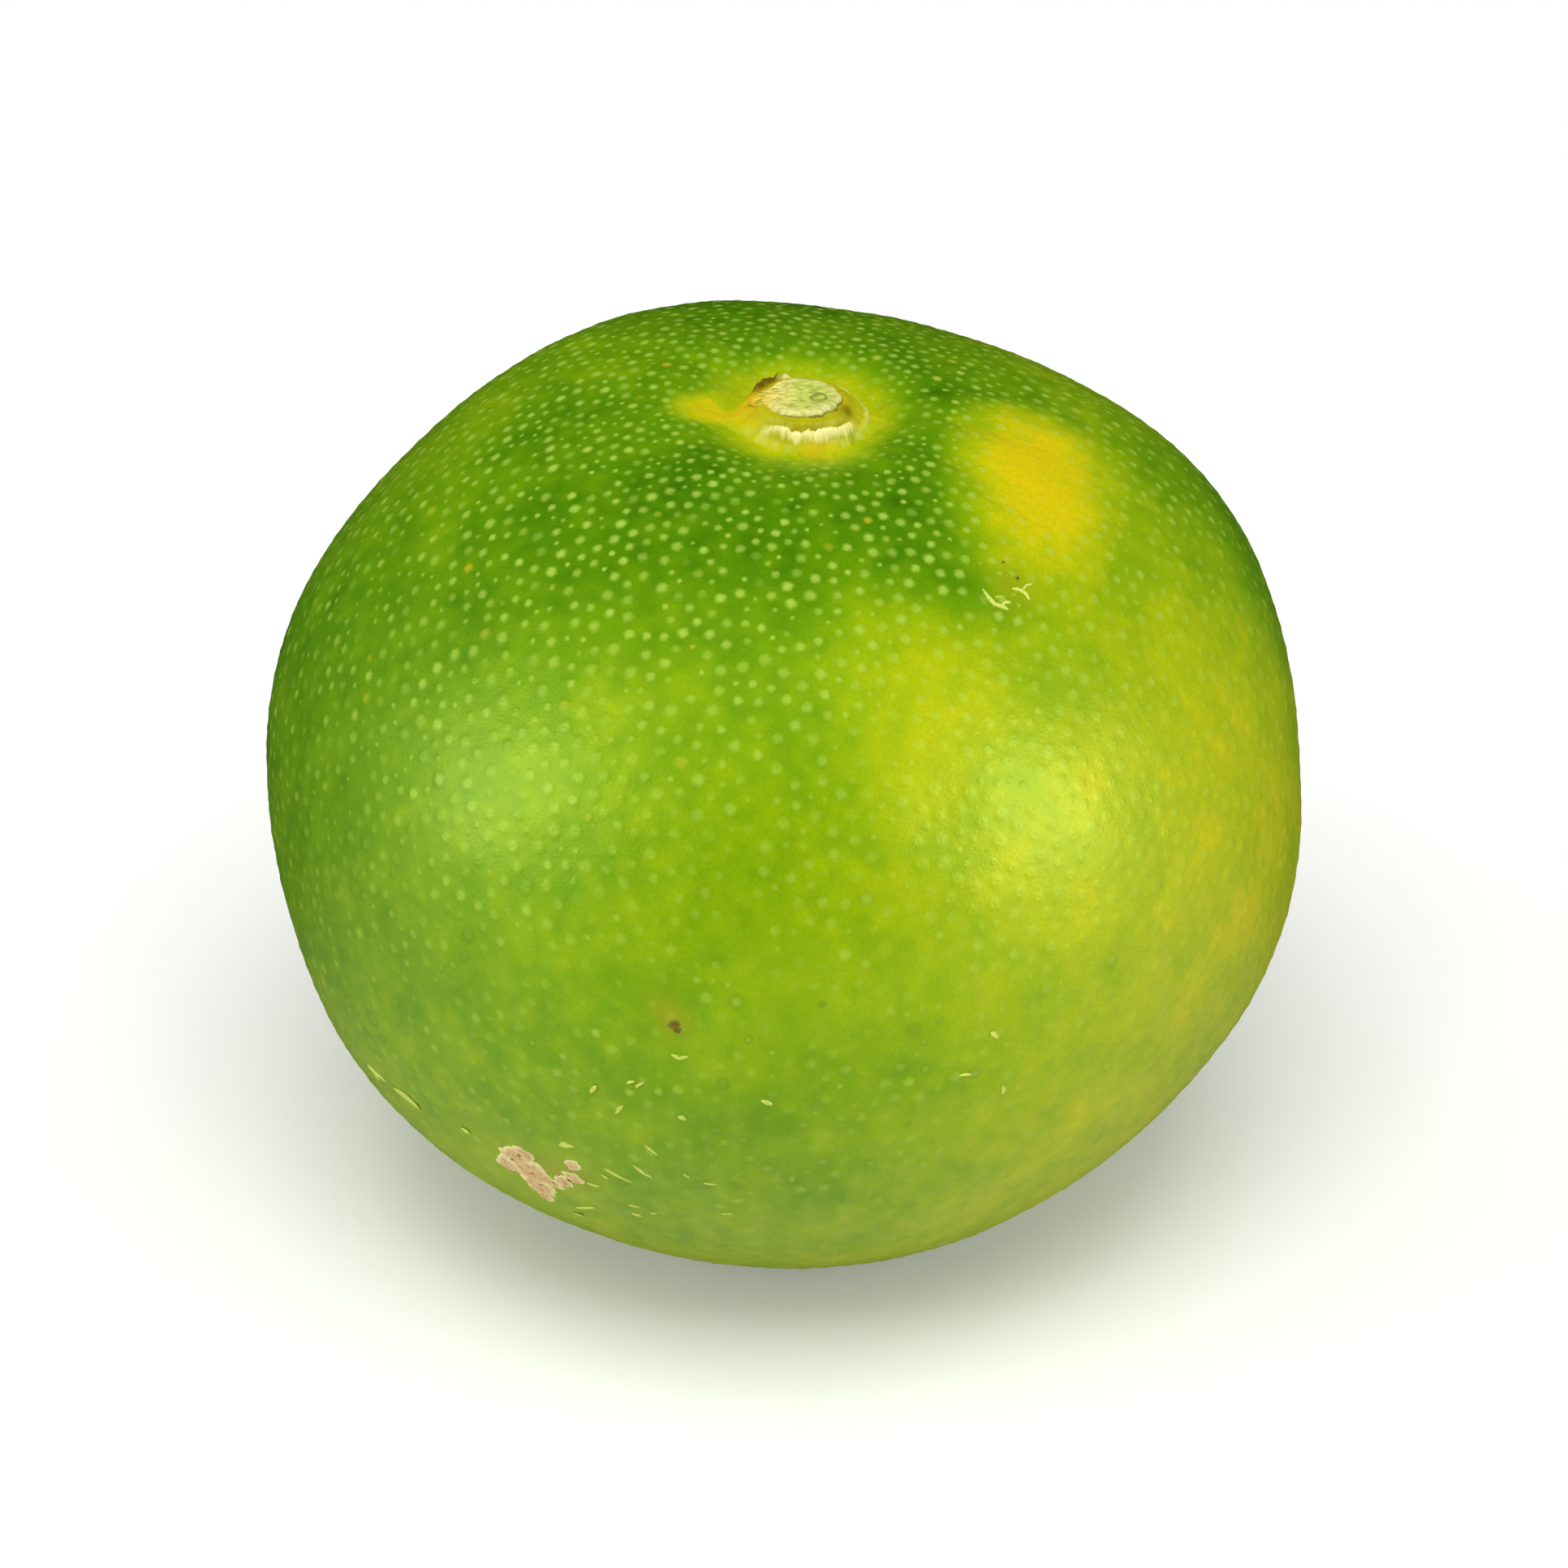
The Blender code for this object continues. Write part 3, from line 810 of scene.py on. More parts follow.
# %% Scratch paths
# Width in millimetres, then azimuth and elevation in degrees along the path
SCRATCHES = (
    (0.40, (-52.4, 49.6), (-52.3, 48.4), (-52.0, 47.4), (-50.8, 46.7), (-50.2, 46.2)),
    (0.30, (-51.0, 46.9), (-49.9, 47.1), (-49.0, 46.8)),
    (0.36, (-47.2, 48.2), (-46.0, 47.8), (-45.3, 46.9), (-45.6, 46.1)),
    (0.26, (-45.6, 47.5), (-44.2, 47.8), (-42.9, 47.6)),
    (0.18, (-51.2, 48.1), (-50.4, 48.0), (-49.8, 47.7)),
    (0.40, (-147.2, -20.4), (-146.8, -20.9), (-146.2, -21.2)),
    (0.85, (-142.9, -20.4), (-140.6, -20.4), (-138.4, -21.1)),
    (0.60, (-148.2, -20.0), (-147.0, -20.2), (-144.4, -20.2)),
    (0.34, (-130.9, -20.2), (-130.3, -20.4), (-129.7, -20.5)),
    (0.50, (-115.9, -15.8), (-115.0, -15.4), (-113.9, -15.2)),
    (0.32, (-110.9, -5.9), (-110.5, -5.3), (-110.1, -4.7)),
    (0.34, (-108.1, -8.1), (-107.7, -7.4), (-107.2, -6.7)),
    (0.26, (-106.6, -3.5), (-106.2, -3.2), (-105.7, -3.0)),
    (0.26, (-105.6, -3.8), (-105.2, -3.3), (-104.7, -3.0)),
    (0.34, (-101.7, 1.2), (-100.8, 0.8), (-99.9, 1.2)),
    (0.40, (-101.1, -6.9), (-100.7, -7.1), (-100.2, -7.3)),
    (0.38, (-92.3, -3.9), (-91.7, -4.2), (-91.1, -4.5)),
    (0.26, (-113.6, -22.0), (-112.8, -22.1), (-111.9, -22.0)),
    (0.26, (-111.2, -19.2), (-110.9, -19.5), (-110.4, -19.8)),
    (0.32, (-110.6, -17.9), (-109.1, -18.8), (-107.4, -19.6)),
    (0.34, (-106.9, -16.1), (-105.9, -17.0), (-104.9, -17.8)),
    (0.30, (-117.6, -30.0), (-115.9, -29.0), (-114.1, -28.0)),
    (0.34, (-118.8, -32.5), (-118.0, -32.3), (-117.2, -32.1)),
    (0.26, (-108.9, -24.8), (-108.2, -24.9), (-107.4, -24.8)),
    (0.30, (-108.9, -27.0), (-108.3, -27.2), (-107.6, -27.2)),
    (0.22, (-106.3, -26.0), (-105.9, -25.9), (-105.4, -25.7)),
    (0.20, (-101.1, -16.2), (-100.8, -16.5), (-100.4, -16.8)),
    (0.22, (-98.9, -17.5), (-98.2, -17.6), (-97.4, -17.5)),
    (0.22, (-97.3, -23.8), (-96.6, -23.7), (-95.9, -23.5)),
    (0.16, (-105.1, -12.2), (-104.5, -12.8), (-103.8, -13.5)),
    (0.42, (-67.4, 1.2), (-67.0, 0.8), (-66.5, 0.2)),
    (0.36, (-65.7, -6.4), (-65.5, -7.0), (-65.6, -7.6)),
    (0.26, (-71.0, -3.4), (-70.2, -3.5), (-69.5, -3.7)),
    (0.34, (58.0, 22.0), (59.6, 21.4), (61.0, 21.6)),
    (0.30, (95.0, -20.0), (96.2, -21.2), (97.0, -21.6)),
)

# %% Scratch shape
STATIONS = 9
RIDGE_HEIGHT, RIDGE_LIFT = 0.05, 0.04
# Where the taper stops, as a share of half the path, and how far the closing point is beyond it
TAPER_STOP, POINT_LENGTH = 0.96, 0.05
# Share of the width by which the edges waver, and how long the wavers are
WAVER, WAVER_WIDTHS = 0.25, (0.4, 1.2)
# Across and up, as shares of half the width and of the height
SECTION = np.array(((1.0, -0.8), (0.6, 0.6), (0.0, 1.0), (-0.6, 0.6), (-1.0, -0.8), (0.0, -1.6)))
# How far the colour has gone over into the skin's
SECTION_FADE = (0.75, 0.10, 0.0, 0.10, 0.75, 1.0)


def disc_faces(rings, columns):
    """Faces of rings of vertices between a first and a last single vertex."""
    k = np.arange(columns)
    after = (k + 1) % columns
    start = 1 + np.arange(rings - 1)[:, None] * columns
    walls = np.stack((start + k, start + k + columns, start + after + columns, start + after), -1)
    last = 1 + (rings - 1) * columns
    first_fan = np.stack((np.zeros(columns, int), 1 + k, 1 + after), -1)
    last_fan = np.stack((np.full(columns, 1 + rings * columns), last + after, last + k), -1)
    return walls.reshape(-1, 4), first_fan, last_fan


def fleck_body(width, *path):
    """Points and faces of one scratch.

    The section is swept along the path and scaled by the root of 1 - (distance from the middle)^2,
    which rounds both ends off. A point closes each end.
    """
    corners = unit(np.array([toward(*place) for place in path]))
    steps = np.linspace(0, len(corners) - 1, STATIONS)
    line = unit(np.stack([np.interp(steps, np.arange(len(corners)), corners[:, k]) for k in range(3)], 1))
    along = unit(np.gradient(line, axis=0))
    across = unit(np.cross(along, line))
    taper = np.sqrt(1 - np.linspace(-TAPER_STOP, TAPER_STOP, STATIONS) ** 2)
    wobble = 1 + WAVER * waves(line * EQUATOR_RADIUS, WAVER_WIDTHS, 8)
    side = SECTION[:, 0] * (taper * wobble)[:, None] * width / 2
    lift = SECTION[:, 1] * taper[:, None] * RIDGE_HEIGHT - DOME_HEIGHT - LUMP_HEIGHT + RIDGE_LIFT
    reach = skin_radius(line)[:, None]
    ring = line[:, None] * (reach + lift)[..., None] + across[:, None] * side[..., None]
    foot = line * (reach - DOME_HEIGHT - LUMP_HEIGHT)
    first = foot[:1] - POINT_LENGTH * along[:1]
    last = foot[-1:] + POINT_LENGTH * along[-1:]
    return np.concatenate((first, ring.reshape(-1, 3), last)), *disc_faces(STATIONS, len(SECTION))


def joined(name, bodies):
    """One mesh object from several closed bodies, each with its points and its arrays of faces."""
    all_points, all_faces, placed_so_far = [], [], 0
    for points, *face_arrays in bodies:
        all_points.append(in_frame(points))
        all_faces += [faces + placed_so_far for faces in face_arrays]
        placed_so_far += len(points)
    return surface(name, np.concatenate(all_points), *all_faces)


def paint_ripeness(made):
    """The ripeness of the skin under each vertex of a mark."""
    places = np.empty(len(made.data.vertices) * 3, np.float32)
    made.data.vertices.foreach_get("co", places)
    paint(made, "ripeness", ripeness_at(unit((places.reshape(-1, 3) / MM - frame_shift) / frame_scale)))


# %% Scratches
scratches = joined("healed_scratches", [fleck_body(*scratch) for scratch in SCRATCHES])
paint_ripeness(scratches)
fade = np.concatenate(([1.0], np.tile(SECTION_FADE, STATIONS), [1.0]))
faint = np.repeat(chance.uniform(0.0, 0.25, len(SCRATCHES)), len(fade))
paint(scratches, "fade", np.clip(np.tile(fade, len(SCRATCHES)) + faint, 0, 1))
print("scratches:", len(SCRATCHES), "faces:", len(scratches.data.polygons))

# %% Scratch material
# Width of the grain in millimetres
CORK_GRAIN = 0.15
CORK_DARK, CORK_LIGHT = "#BACE42", "#F8FA7E"

healed_cork, tree = start_material("healed_cream_cork")
place = add_node(tree, "TexCoord").outputs["Object"]
grain = add_node(tree, "TexNoise", scale=1 / (CORK_GRAIN * MM), detail=3.0, vector=place).outputs["Fac"]
cream = mixed(tree, grain, CORK_DARK, CORK_LIGHT)
fade = painted(tree, "fade")
cream = mixed(tree, fade, cream, ripeness_colour(tree))
dress(scratches, healed_cork, cream, roughness=0.6, specular_ior_level=0.25)

# %% [markdown]
# ## Scars and spots
#
# A branch rubbed the lower left of the fruit and left a corky scar with brown pits. There is a brown
# spot higher up at the front, two dark pinpricks near the yellow patch, and the dry end of the style
# under the fruit. The back has two small scars and one spot of the same kinds. Each is a thin ragged
# disc just over the skin, and the large scar is several that overlap.

# %% Scar and spot places
# Azimuth and elevation in degrees, radius in millimetres
SCARS = (
    (-121.5, -20.2, 0.95),
    (-123.6, -21.4, 1.05),
    (-125.2, -24.0, 1.00),
    (-121.8, -23.8, 1.70),
    (-119.4, -24.4, 0.90),
    (-121.7, -27.2, 1.40),
    (-121.9, -29.6, 0.80),
    (-117.2, -23.4, 0.75),
    (-115.4, -21.8, 0.70),
    (-114.9, -19.2, 0.70),
    (62.0, -12.0, 0.80),
    (65.0, -14.0, 0.55),
)
SPOTS = (
    (-101.3, 4.9, 0.42),
    (-101.0, 4.3, 0.28),
    (-44.8, 49.0, 0.21),
    (-45.0, 51.5, 0.15),
    (0.0, -90.0, 1.05),
    (141.0, 34.0, 0.34),
    (-122.4, -20.6, 0.17),
    (-123.9, -22.2, 0.16),
    (-121.6, -23.9, 0.17),
    (-118.8, -24.4, 0.16),
    (-116.1, -22.6, 0.18),
    (-121.2, -26.2, 0.13),
)

# %% Patch shape
PATCH_RINGS, PATCH_COLUMNS = 8, 40
PATCH_LEVELS = np.arange(1, PATCH_RINGS + 1) / PATCH_RINGS
# Share of the radius by which the outline wanders, and widths of the noise for it
RAGGEDNESS, RAGGED_WIDTHS = 0.34, (0.5, 2.2)
# Millimetres: drop at the edge, small lumps and their widths, depth of the point underneath
EDGE_DROP, CRUST_LUMPS, CRUST_WIDTHS, UNDERSIDE_DEPTH = 0.14, 0.012, (0.25, 0.8), 0.3
SCAR_LIFT, SPOT_LIFT = -0.035, -0.020
# Any direction that no mark lies in
ASIDE = (0.3, 0.4, 0.86)


def ring_values(each_ring, columns, first, last):
    """One value for all points of a ring, between the values of the first and the last point."""
    return np.concatenate(([first], np.repeat(each_ring, columns), [last]))


def ring_turns(rings, columns):
    """The angle of each point in its ring, and 0 for the first and the last point."""
    return np.concatenate(([0.0], np.tile(np.arange(columns) * 2 * math.pi / columns, rings), [0.0]))


def circle(turn, third=0.0):
    """Cosine and sine of the turn, and a third number that sets the noise on one ring off from others."""
    return np.column_stack((np.cos(turn), np.sin(turn), np.full(len(turn), third)))


def patch_body(top_lift, azimuth, elevation, radius):
    """Points and faces of one patch: rings of a ragged disc on the skin, and one point underneath."""
    middle = toward(azimuth, elevation)
    side = unit(np.cross(middle, ASIDE))
    other_side = np.cross(middle, side)
    level = ring_values(PATCH_LEVELS, PATCH_COLUMNS, 0.0, 0.0)
    loop = circle(ring_turns(PATCH_RINGS, PATCH_COLUMNS), azimuth)
    ragged = 1 + RAGGEDNESS * waves(loop, RAGGED_WIDTHS, 90)
    tilt = level * ragged * radius / EQUATOR_RADIUS
    way = unit(middle + tilt[:, None] * (loop[:, :1] * side + loop[:, 1:2] * other_side))
    lift = top_lift - EDGE_DROP * level**6 + CRUST_LUMPS * waves(way * EQUATOR_RADIUS, CRUST_WIDTHS, 91)
    lift[-1] = top_lift - UNDERSIDE_DEPTH
    return way * (skin_radius(way) + lift)[:, None], *disc_faces(PATCH_RINGS, PATCH_COLUMNS)


# %% Scars and spots
scars = joined("corky_scars", [patch_body(SCAR_LIFT, *scar) for scar in SCARS])
spots = joined("brown_spots", [patch_body(SPOT_LIFT, *spot) for spot in SPOTS])
edge = ring_values(PATCH_LEVELS, PATCH_COLUMNS, 0.0, 1.0)
for made, bodies in ((scars, SCARS), (spots, SPOTS)):
    paint_ripeness(made)
    paint(made, "edge", np.tile(edge, len(bodies)))
print("scars:", len(scars.data.polygons), "spots:", len(spots.data.polygons), "faces")

# %% Scar and spot materials
# Width and height of the grain in millimetres
CRUST_GRAIN, CRUST_RELIEF = 0.3, 0.025
# Colours of the crust's dark and light grain and of its rim, and where it fades into the skin
for made, name, dark, light, rim, fade_from in (
    (scars, "tan_cork", "#CC9E68", "#E8CA90", "#F4EAA8", 0.92),
    (spots, "brown_dry_skin", "#5A4004", "#82620C", "#867410", 0.35),
):
    crust, tree = start_material(name)
    place = add_node(tree, "TexCoord").outputs["Object"]
    grain = add_node(tree, "TexNoise", scale=1 / (CRUST_GRAIN * MM), detail=3.0, vector=place).outputs["Fac"]
    spread = stretched(tree, grain, 0.35, 0.65)
    colour = mixed(tree, spread, dark, light)
    edge = painted(tree, "edge")
    pale = stretched(tree, edge, 0.45, 0.85)
    colour = mixed(tree, pale, colour, rim)
    fade = stretched(tree, edge, fade_from, 1.0, 0.8)
    colour = mixed(tree, fade, colour, ripeness_colour(tree))
    rise = times(tree, grain, CRUST_RELIEF)
    dress(made, crust, colour, rise, roughness=0.75, specular_ior_level=0.25)

# %% [markdown]
# ## The calyx
#
# The calyx is the star of five sepals that held the flower. On a picked fruit it is dry, thin and
# pressed to the skin, so the sepals end in the ochre halo and hardly show. Round the stalk it is
# thicker, and where the stalk broke away in front a crest of torn cream fibres stands up. It is one
# closed surface: rings from the middle out to the star's outline and back underneath.

# %% Calyx shape
# Azimuth in degrees and length of each sepal
SEPALS = ((-78, 6.6), (-4, 5.7), (62, 5.3), (122, 5.5), (187, 6.4))
CALYX_RADIUS = 4.2
SEPAL_HALF_ANGLE = math.radians(26)
SEPAL_SLENDERNESS = 1.35
ROUND_SHARE = 0.75
# Azimuth and spread in degrees, and flatness, of the crest in front, the torn edge behind and a fold
CREST, BACK_EDGE, FOLD = (-81, 49, 3), (126, 26, 2), (28, 48, 1)
STEM_REACH = STEM_END_HEIGHT - BASIN_DEPTH - SEAT_DEPTH
# Distance from the stalk's axis, and height over the skin there, beside the crest and through it
PLAIN_PROFILE = (
    (0, 1.45),
    (2.5, 1.45),
    (2.85, 1.10),
    (3.3, 0.70),
    (4.0, 0.28),
    (4.8, 0.02),
    (6.7, -0.04),
)
CREST_PROFILE = (
    (0, 1.45),
    (2.5, 1.45),
    (2.7, 1.05),
    (2.92, 0.92),
    (3.04, 1.34),
    (3.18, 1.50),
    (3.36, 1.42),
    (3.50, 1.00),
    (3.64, 0.56),
    (4.0, 0.30),
    (4.8, 0.02),
    (6.7, -0.04),
)
RINGS, BACK_RINGS, COLUMNS = 58, 10, 320


# %% Calyx outline
def turn_away(turn, azimuth):
    """Angle from -pi to pi between turns and an azimuth in degrees, without the jump at the back."""
    return np.angle(np.exp(1j * (turn - math.radians(azimuth))))


def round_about(turn, azimuth, spread, flatness=1):
    """A bell of the turn's angle to an azimuth, over its spread and raised to its flatness."""
    return bell((turn_away(turn, azimuth) / math.radians(spread)) ** flatness)


def sepal_reach(turn):
    """Outline of the calyx: a disc with five pointed sepals that widen to their bases."""
    reach = np.full(len(turn), CALYX_RADIUS)
    for azimuth, length in SEPALS:
        away = np.abs(turn_away(turn, azimuth))
        reach += (length - CALYX_RADIUS) * np.clip(1 - away / SEPAL_HALF_ANGLE, 0, 1) ** SEPAL_SLENDERNESS
    return reach


def by_the_stalk(reach, turn):
    """Directions at a distance along the skin from the stalk's axis, and a turn round it."""
    return from_angles(reach / STEM_REACH, turn) @ np.stack((STEM_RIGHT, STEM_BACK, STEM_AXIS))


# %% Calyx surface
# Distance of the torn edges from the stalk's axis
TORN_RADIUS = 3.3
# Height, distance from the stalk's axis and width
BACK_EDGE_HEIGHT, BACK_EDGE_REACH, BACK_EDGE_WIDTH = 0.68, 3.25, 0.26
FOLD_HEIGHT, FOLD_REACH, FOLD_WIDTH = 0.16, 3.72, 0.13
INNER_FOLD_HEIGHT, INNER_FOLD_REACH, INNER_FOLD_WIDTH = 0.07, 3.25, 0.10
VEIN_HEIGHT, VEINS_FROM = 0.035, 2.4
# The rim sinks into the skin from this share of the outline on, and by this depth
SINK_FROM, SINK_DEPTH = 0.80, 0.17
# Height of the underside in the middle, and its rise towards the rim
UNDERSIDE, UNDERSIDE_RISE = -0.30, 0.05

share = np.concatenate((np.arange(1, RINGS + 1) / RINGS, np.arange(BACK_RINGS, 0, -1) / (BACK_RINGS + 1)))
on_face = ring_values(np.arange(len(share)) < RINGS, COLUMNS, True, False)
turn = ring_turns(len(share), COLUMNS)
share = ring_values(share, COLUMNS, 0.0, 0.0)
around = circle(turn)
torn_edge = around * TORN_RADIUS
pointed = np.clip((share - ROUND_SHARE) / (1 - ROUND_SHARE), 0, 1)
ragged = 1 - 0.05 * (1 + waves(around * 4, (0.3, 1.5), 31)) * pointed
reach = (share * CALYX_RADIUS + pointed * (sepal_reach(turn) - CALYX_RADIUS)) * ragged

crest = round_about(turn, *CREST)
plain_lift = np.interp(reach, *zip(*PLAIN_PROFILE))
wavering = reach + 0.10 * waves(around * 3, (0.5, 3.0), 7)
crest_lift = np.interp(wavering, *zip(*CREST_PROFILE))
over = np.clip(crest_lift - plain_lift, 0, None)
teeth = 0.72 + 0.30 * waves(torn_edge, (0.22, 0.6), 12) + 0.18 * waves(torn_edge, (0.8, 2.0), 13)
lift = plain_lift + crest * (crest_lift - plain_lift - over * (1 - np.clip(teeth, 0.25, 1.0)))
veins = waves(np.column_stack((around[:, :2] * 5.0, reach * 0.25)), (0.35, 1.3), 21)
lift += VEIN_HEIGHT * veins * np.clip(reach - VEINS_FROM, 0, 1) * (1 - pointed * 0.5)
back_edge = BACK_EDGE_HEIGHT * round_about(turn, *BACK_EDGE)
back_teeth = np.clip(0.8 + 0.4 * waves(torn_edge, (0.3, 0.8), 14), 0.3, 1)
lift += back_edge * bell((wavering - BACK_EDGE_REACH) / BACK_EDGE_WIDTH) * back_teeth
fold = round_about(turn, *FOLD)
fold_path = FOLD_REACH + 0.10 * waves(around * 3, (1.0, 3.0), 44)
lift += FOLD_HEIGHT * fold * bell((reach - fold_path) / FOLD_WIDTH)
lift += INNER_FOLD_HEIGHT * fold * bell((reach - INNER_FOLD_REACH) / INNER_FOLD_WIDTH)
sunk = np.clip((share - SINK_FROM) / (1 - SINK_FROM), 0, 1) ** 2
lift = np.where(on_face, lift * (1 - sunk) - SINK_DEPTH * sunk, UNDERSIDE + UNDERSIDE_RISE * share)
way = by_the_stalk(reach, turn)
calyx_points = in_frame(way * (skin_radius(way) + lift)[:, None])
calyx = surface("dry_calyx", calyx_points, *disc_faces(RINGS + BACK_RINGS, COLUMNS))
print("calyx:", len(calyx.data.polygons), "faces")

# %% [markdown]
# ## Dry calyx skin
#
# The calyx has dried to ochre and olive, amber towards the left. Fine darker veins run out along the
# sepals. Torn edges show the cream fibres inside, and a few places have gone brown. The groove inside
# the crest is darkened with the same brown as painted shade.

# %% Calyx colouring
# Azimuth in degrees, distance and spread in millimetres, strength
BROWNED = (
    (142, 3.30, 0.60, 1.3),
    (124, 3.35, 0.52, 1.3),
    (105, 3.45, 0.40, 1.0),
    (-20, 2.6, 0.40, 0.8),
    (-79, 5.3, 0.35, 0.35),
    (-92, 4.5, 0.25, 0.30),
    (-64, 4.6, 0.22, 0.30),
    (-84, 4.7, 0.90, 0.15),
    (-112, 4.4, 0.70, 0.12),
)
AMBER = (
    (178, 3.8, 1.3, 0.8),
    (186, 5.7, 0.7, 0.9),
    (150, 3.5, 1.0, 0.4),
    (-84, 4.4, 1.1, 0.6),
    (-118, 4.2, 0.9, 0.5),
    (-52, 4.2, 0.8, 0.4),
    (2, 4.4, 0.8, 0.3),
)
# Distances from the stalk's axis: the torn band of the crest, the groove inside it and the tear behind
TORN_FROM, TORN_TO, GROOVE_REACH, TEAR_REACH = 2.98, 3.58, 2.84, 3.05
# Azimuth and spread of the tear behind
TEAR = (108, 7)


def tinge(places):
    """Sum of the strengths of places by the stalk, each a bell of the distance to it."""
    flat = reach[:, None] * around[:, :2]
    total = np.zeros(len(reach))
    for azimuth, distance, spread, strength in places:
        spot = distance * toward(azimuth, 0)[:2]
        total += strength * bell(np.linalg.norm(flat - spot, axis=1) / spread)
    return total


frayed = waves(torn_edge, (0.2, 0.7), 12)
torn = crest * np.clip((wavering - TORN_FROM) / 0.08, 0, 1)
torn *= np.clip((TORN_TO + 0.10 * frayed - wavering) / 0.12, 0, 1)
torn *= np.clip(0.95 + 0.35 * frayed, 0.55, 1)
torn += 0.5 * fold * bell((reach - FOLD_REACH) / 0.14)
torn += 0.8 * round_about(turn, *TEAR) * bell((wavering - TEAR_REACH) / 0.12)
# Painted shade: the groove inside the crest gets the brown as well
groove_shade = crest * bell((wavering - GROOVE_REACH) / 0.14)
paint(calyx, "torn", np.clip(torn, 0, 1))
paint(calyx, "browned_and_groove_shade", np.clip(tinge(BROWNED) + 0.55 * groove_shade, 0, 1))
paint(calyx, "amber", np.clip(tinge(AMBER), 0, 1) * np.interp(share, (SINK_FROM, 1.0), (1.0, 0.0)))
dryness = np.clip((0.90 - share + 0.09 * waves(calyx_points, (0.5, 1.8), 51)) / 0.34, 0, 1)
paint(calyx, "dryness", dryness)
paint(calyx, "ripeness", ripeness_at(way))
paint(calyx, "vein_place", np.column_stack((around[:, :2] * 9.0, reach * 0.6)))
print("dry share of the calyx:", dryness.mean().round(2))

# %% Calyx material
# Width of the blotches and height of the veins in millimetres
BLOTCH_WIDTH, VEIN_RELIEF = 0.8, 0.06
OLIVE_DARK, OLIVE_LIGHT, VEIN_COLOUR = "#A8A402", "#C8C004", "#7A7602"
AMBER_COLOUR, BROWN_COLOUR, TORN_COLOUR = "#E0BC0A", "#5A3806", "#FCF49E"

dry_skin, tree = start_material("dry_calyx_skin")
place = add_node(tree, "TexCoord").outputs["Object"]
amount = {name: painted(tree, name) for name in ("torn", "browned_and_groove_shade", "amber", "dryness")}
vein_place = painted(tree, "vein_place", "Vector")
vein = add_node(tree, "TexNoise", scale=1.6, detail=4.0, roughness=0.65, vector=vein_place).outputs["Fac"]
blotch = add_node(tree, "TexNoise", scale=1 / (BLOTCH_WIDTH * MM), detail=3.0, vector=place).outputs["Fac"]
olive = mixed(tree, blotch, OLIVE_DARK, OLIVE_LIGHT)
dark = stretched(tree, vein, 0.52, 0.72, 0.5)
olive = mixed(tree, dark, olive, VEIN_COLOUR)
colour = mixed(tree, amount["dryness"], ripeness_colour(tree), olive)
# The brown is partly real browning and partly painted shade in the groove
brown = times(tree, amount["browned_and_groove_shade"], 0.9)
for cover, tint in ((amount["amber"], AMBER_COLOUR), (brown, BROWN_COLOUR), (amount["torn"], TORN_COLOUR)):
    colour = mixed(tree, cover, colour, tint)
fibre = times(tree, vein, VEIN_RELIEF)
fibre = times(tree, fibre, amount["dryness"])
dress(calyx, dry_skin, colour, fibre, roughness=0.45, specular_tint=(0.9, 1.0, 0.4, 1.0))

# %% [markdown]
# ## The stub of the stalk
#
# The stalk broke off just above the calyx. The broken face is an uneven lens of pith: cream and
# splintered at the left, where the bark tore, and pale green at the right, round a small ring that
# was the stalk's core. It is a closed disc of rings like the calyx.

# %% Stub shape
CORE_PLACE = np.array((1.35, -0.40))
STUB_RINGS, STUB_SIDE_RINGS, STUB_COLUMNS = 44, 8, 200
# Azimuth and spread in degrees of the two places where the outline is drawn in, and by how much
DRAWN_IN, DRAWN_IN_SHARE = ((138, 24), (222, 26)), 0.20
STUB_RAGGEDNESS = 0.045
# The broken face, as shares of the stub's height
FACE_LEVEL, HOLLOW, LEFT_FALL, FIBRE_RELIEF, ROUNDED_EDGE = 0.62, 0.10, 0.35, 0.08, 0.16
# Height as such a share, radius and width in millimetres
RING_RISE, RING_RADIUS, RING_WIDTH = 0.07, 0.42, 0.11
PITH_HOLE_DEPTH, PITH_HOLE_RADIUS = 0.10, 0.24
SPLIT_RISE, SPLIT_PLACE, SPLIT_WIDTH, SPLIT_LENGTH = 0.05, (0.72, 0.1), 0.07, 0.7

stub_low, stub_high = (np.array(corner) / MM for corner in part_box("stem_stub"))
stub_middle, stub_half = (stub_low + stub_high) / 2, (stub_high - stub_low) / 2
level = np.concatenate((np.arange(1, STUB_RINGS + 1) / STUB_RINGS, np.full(STUB_SIDE_RINGS, 1.0)))
drop = np.concatenate((np.zeros(STUB_RINGS), np.arange(1, STUB_SIDE_RINGS + 1) / STUB_SIDE_RINGS))
turn = ring_turns(len(level), STUB_COLUMNS)
level = ring_values(level, STUB_COLUMNS, 0.0, 0.0)
drop = ring_values(drop, STUB_COLUMNS, 0.0, 1.0)
around = circle(turn)
stub_edge = around * 2.6
drawn_in = sum(round_about(turn, *place) for place in DRAWN_IN)
outline = 1 - DRAWN_IN_SHARE * drawn_in - STUB_RAGGEDNESS * (1 + waves(stub_edge, (0.25, 1.6), 61))
flat = around[:, :2] * stub_half[:2] * (level * outline)[:, None]
# The face is a little narrower than the foot
flat *= (0.94 + 0.06 * drop)[:, None]

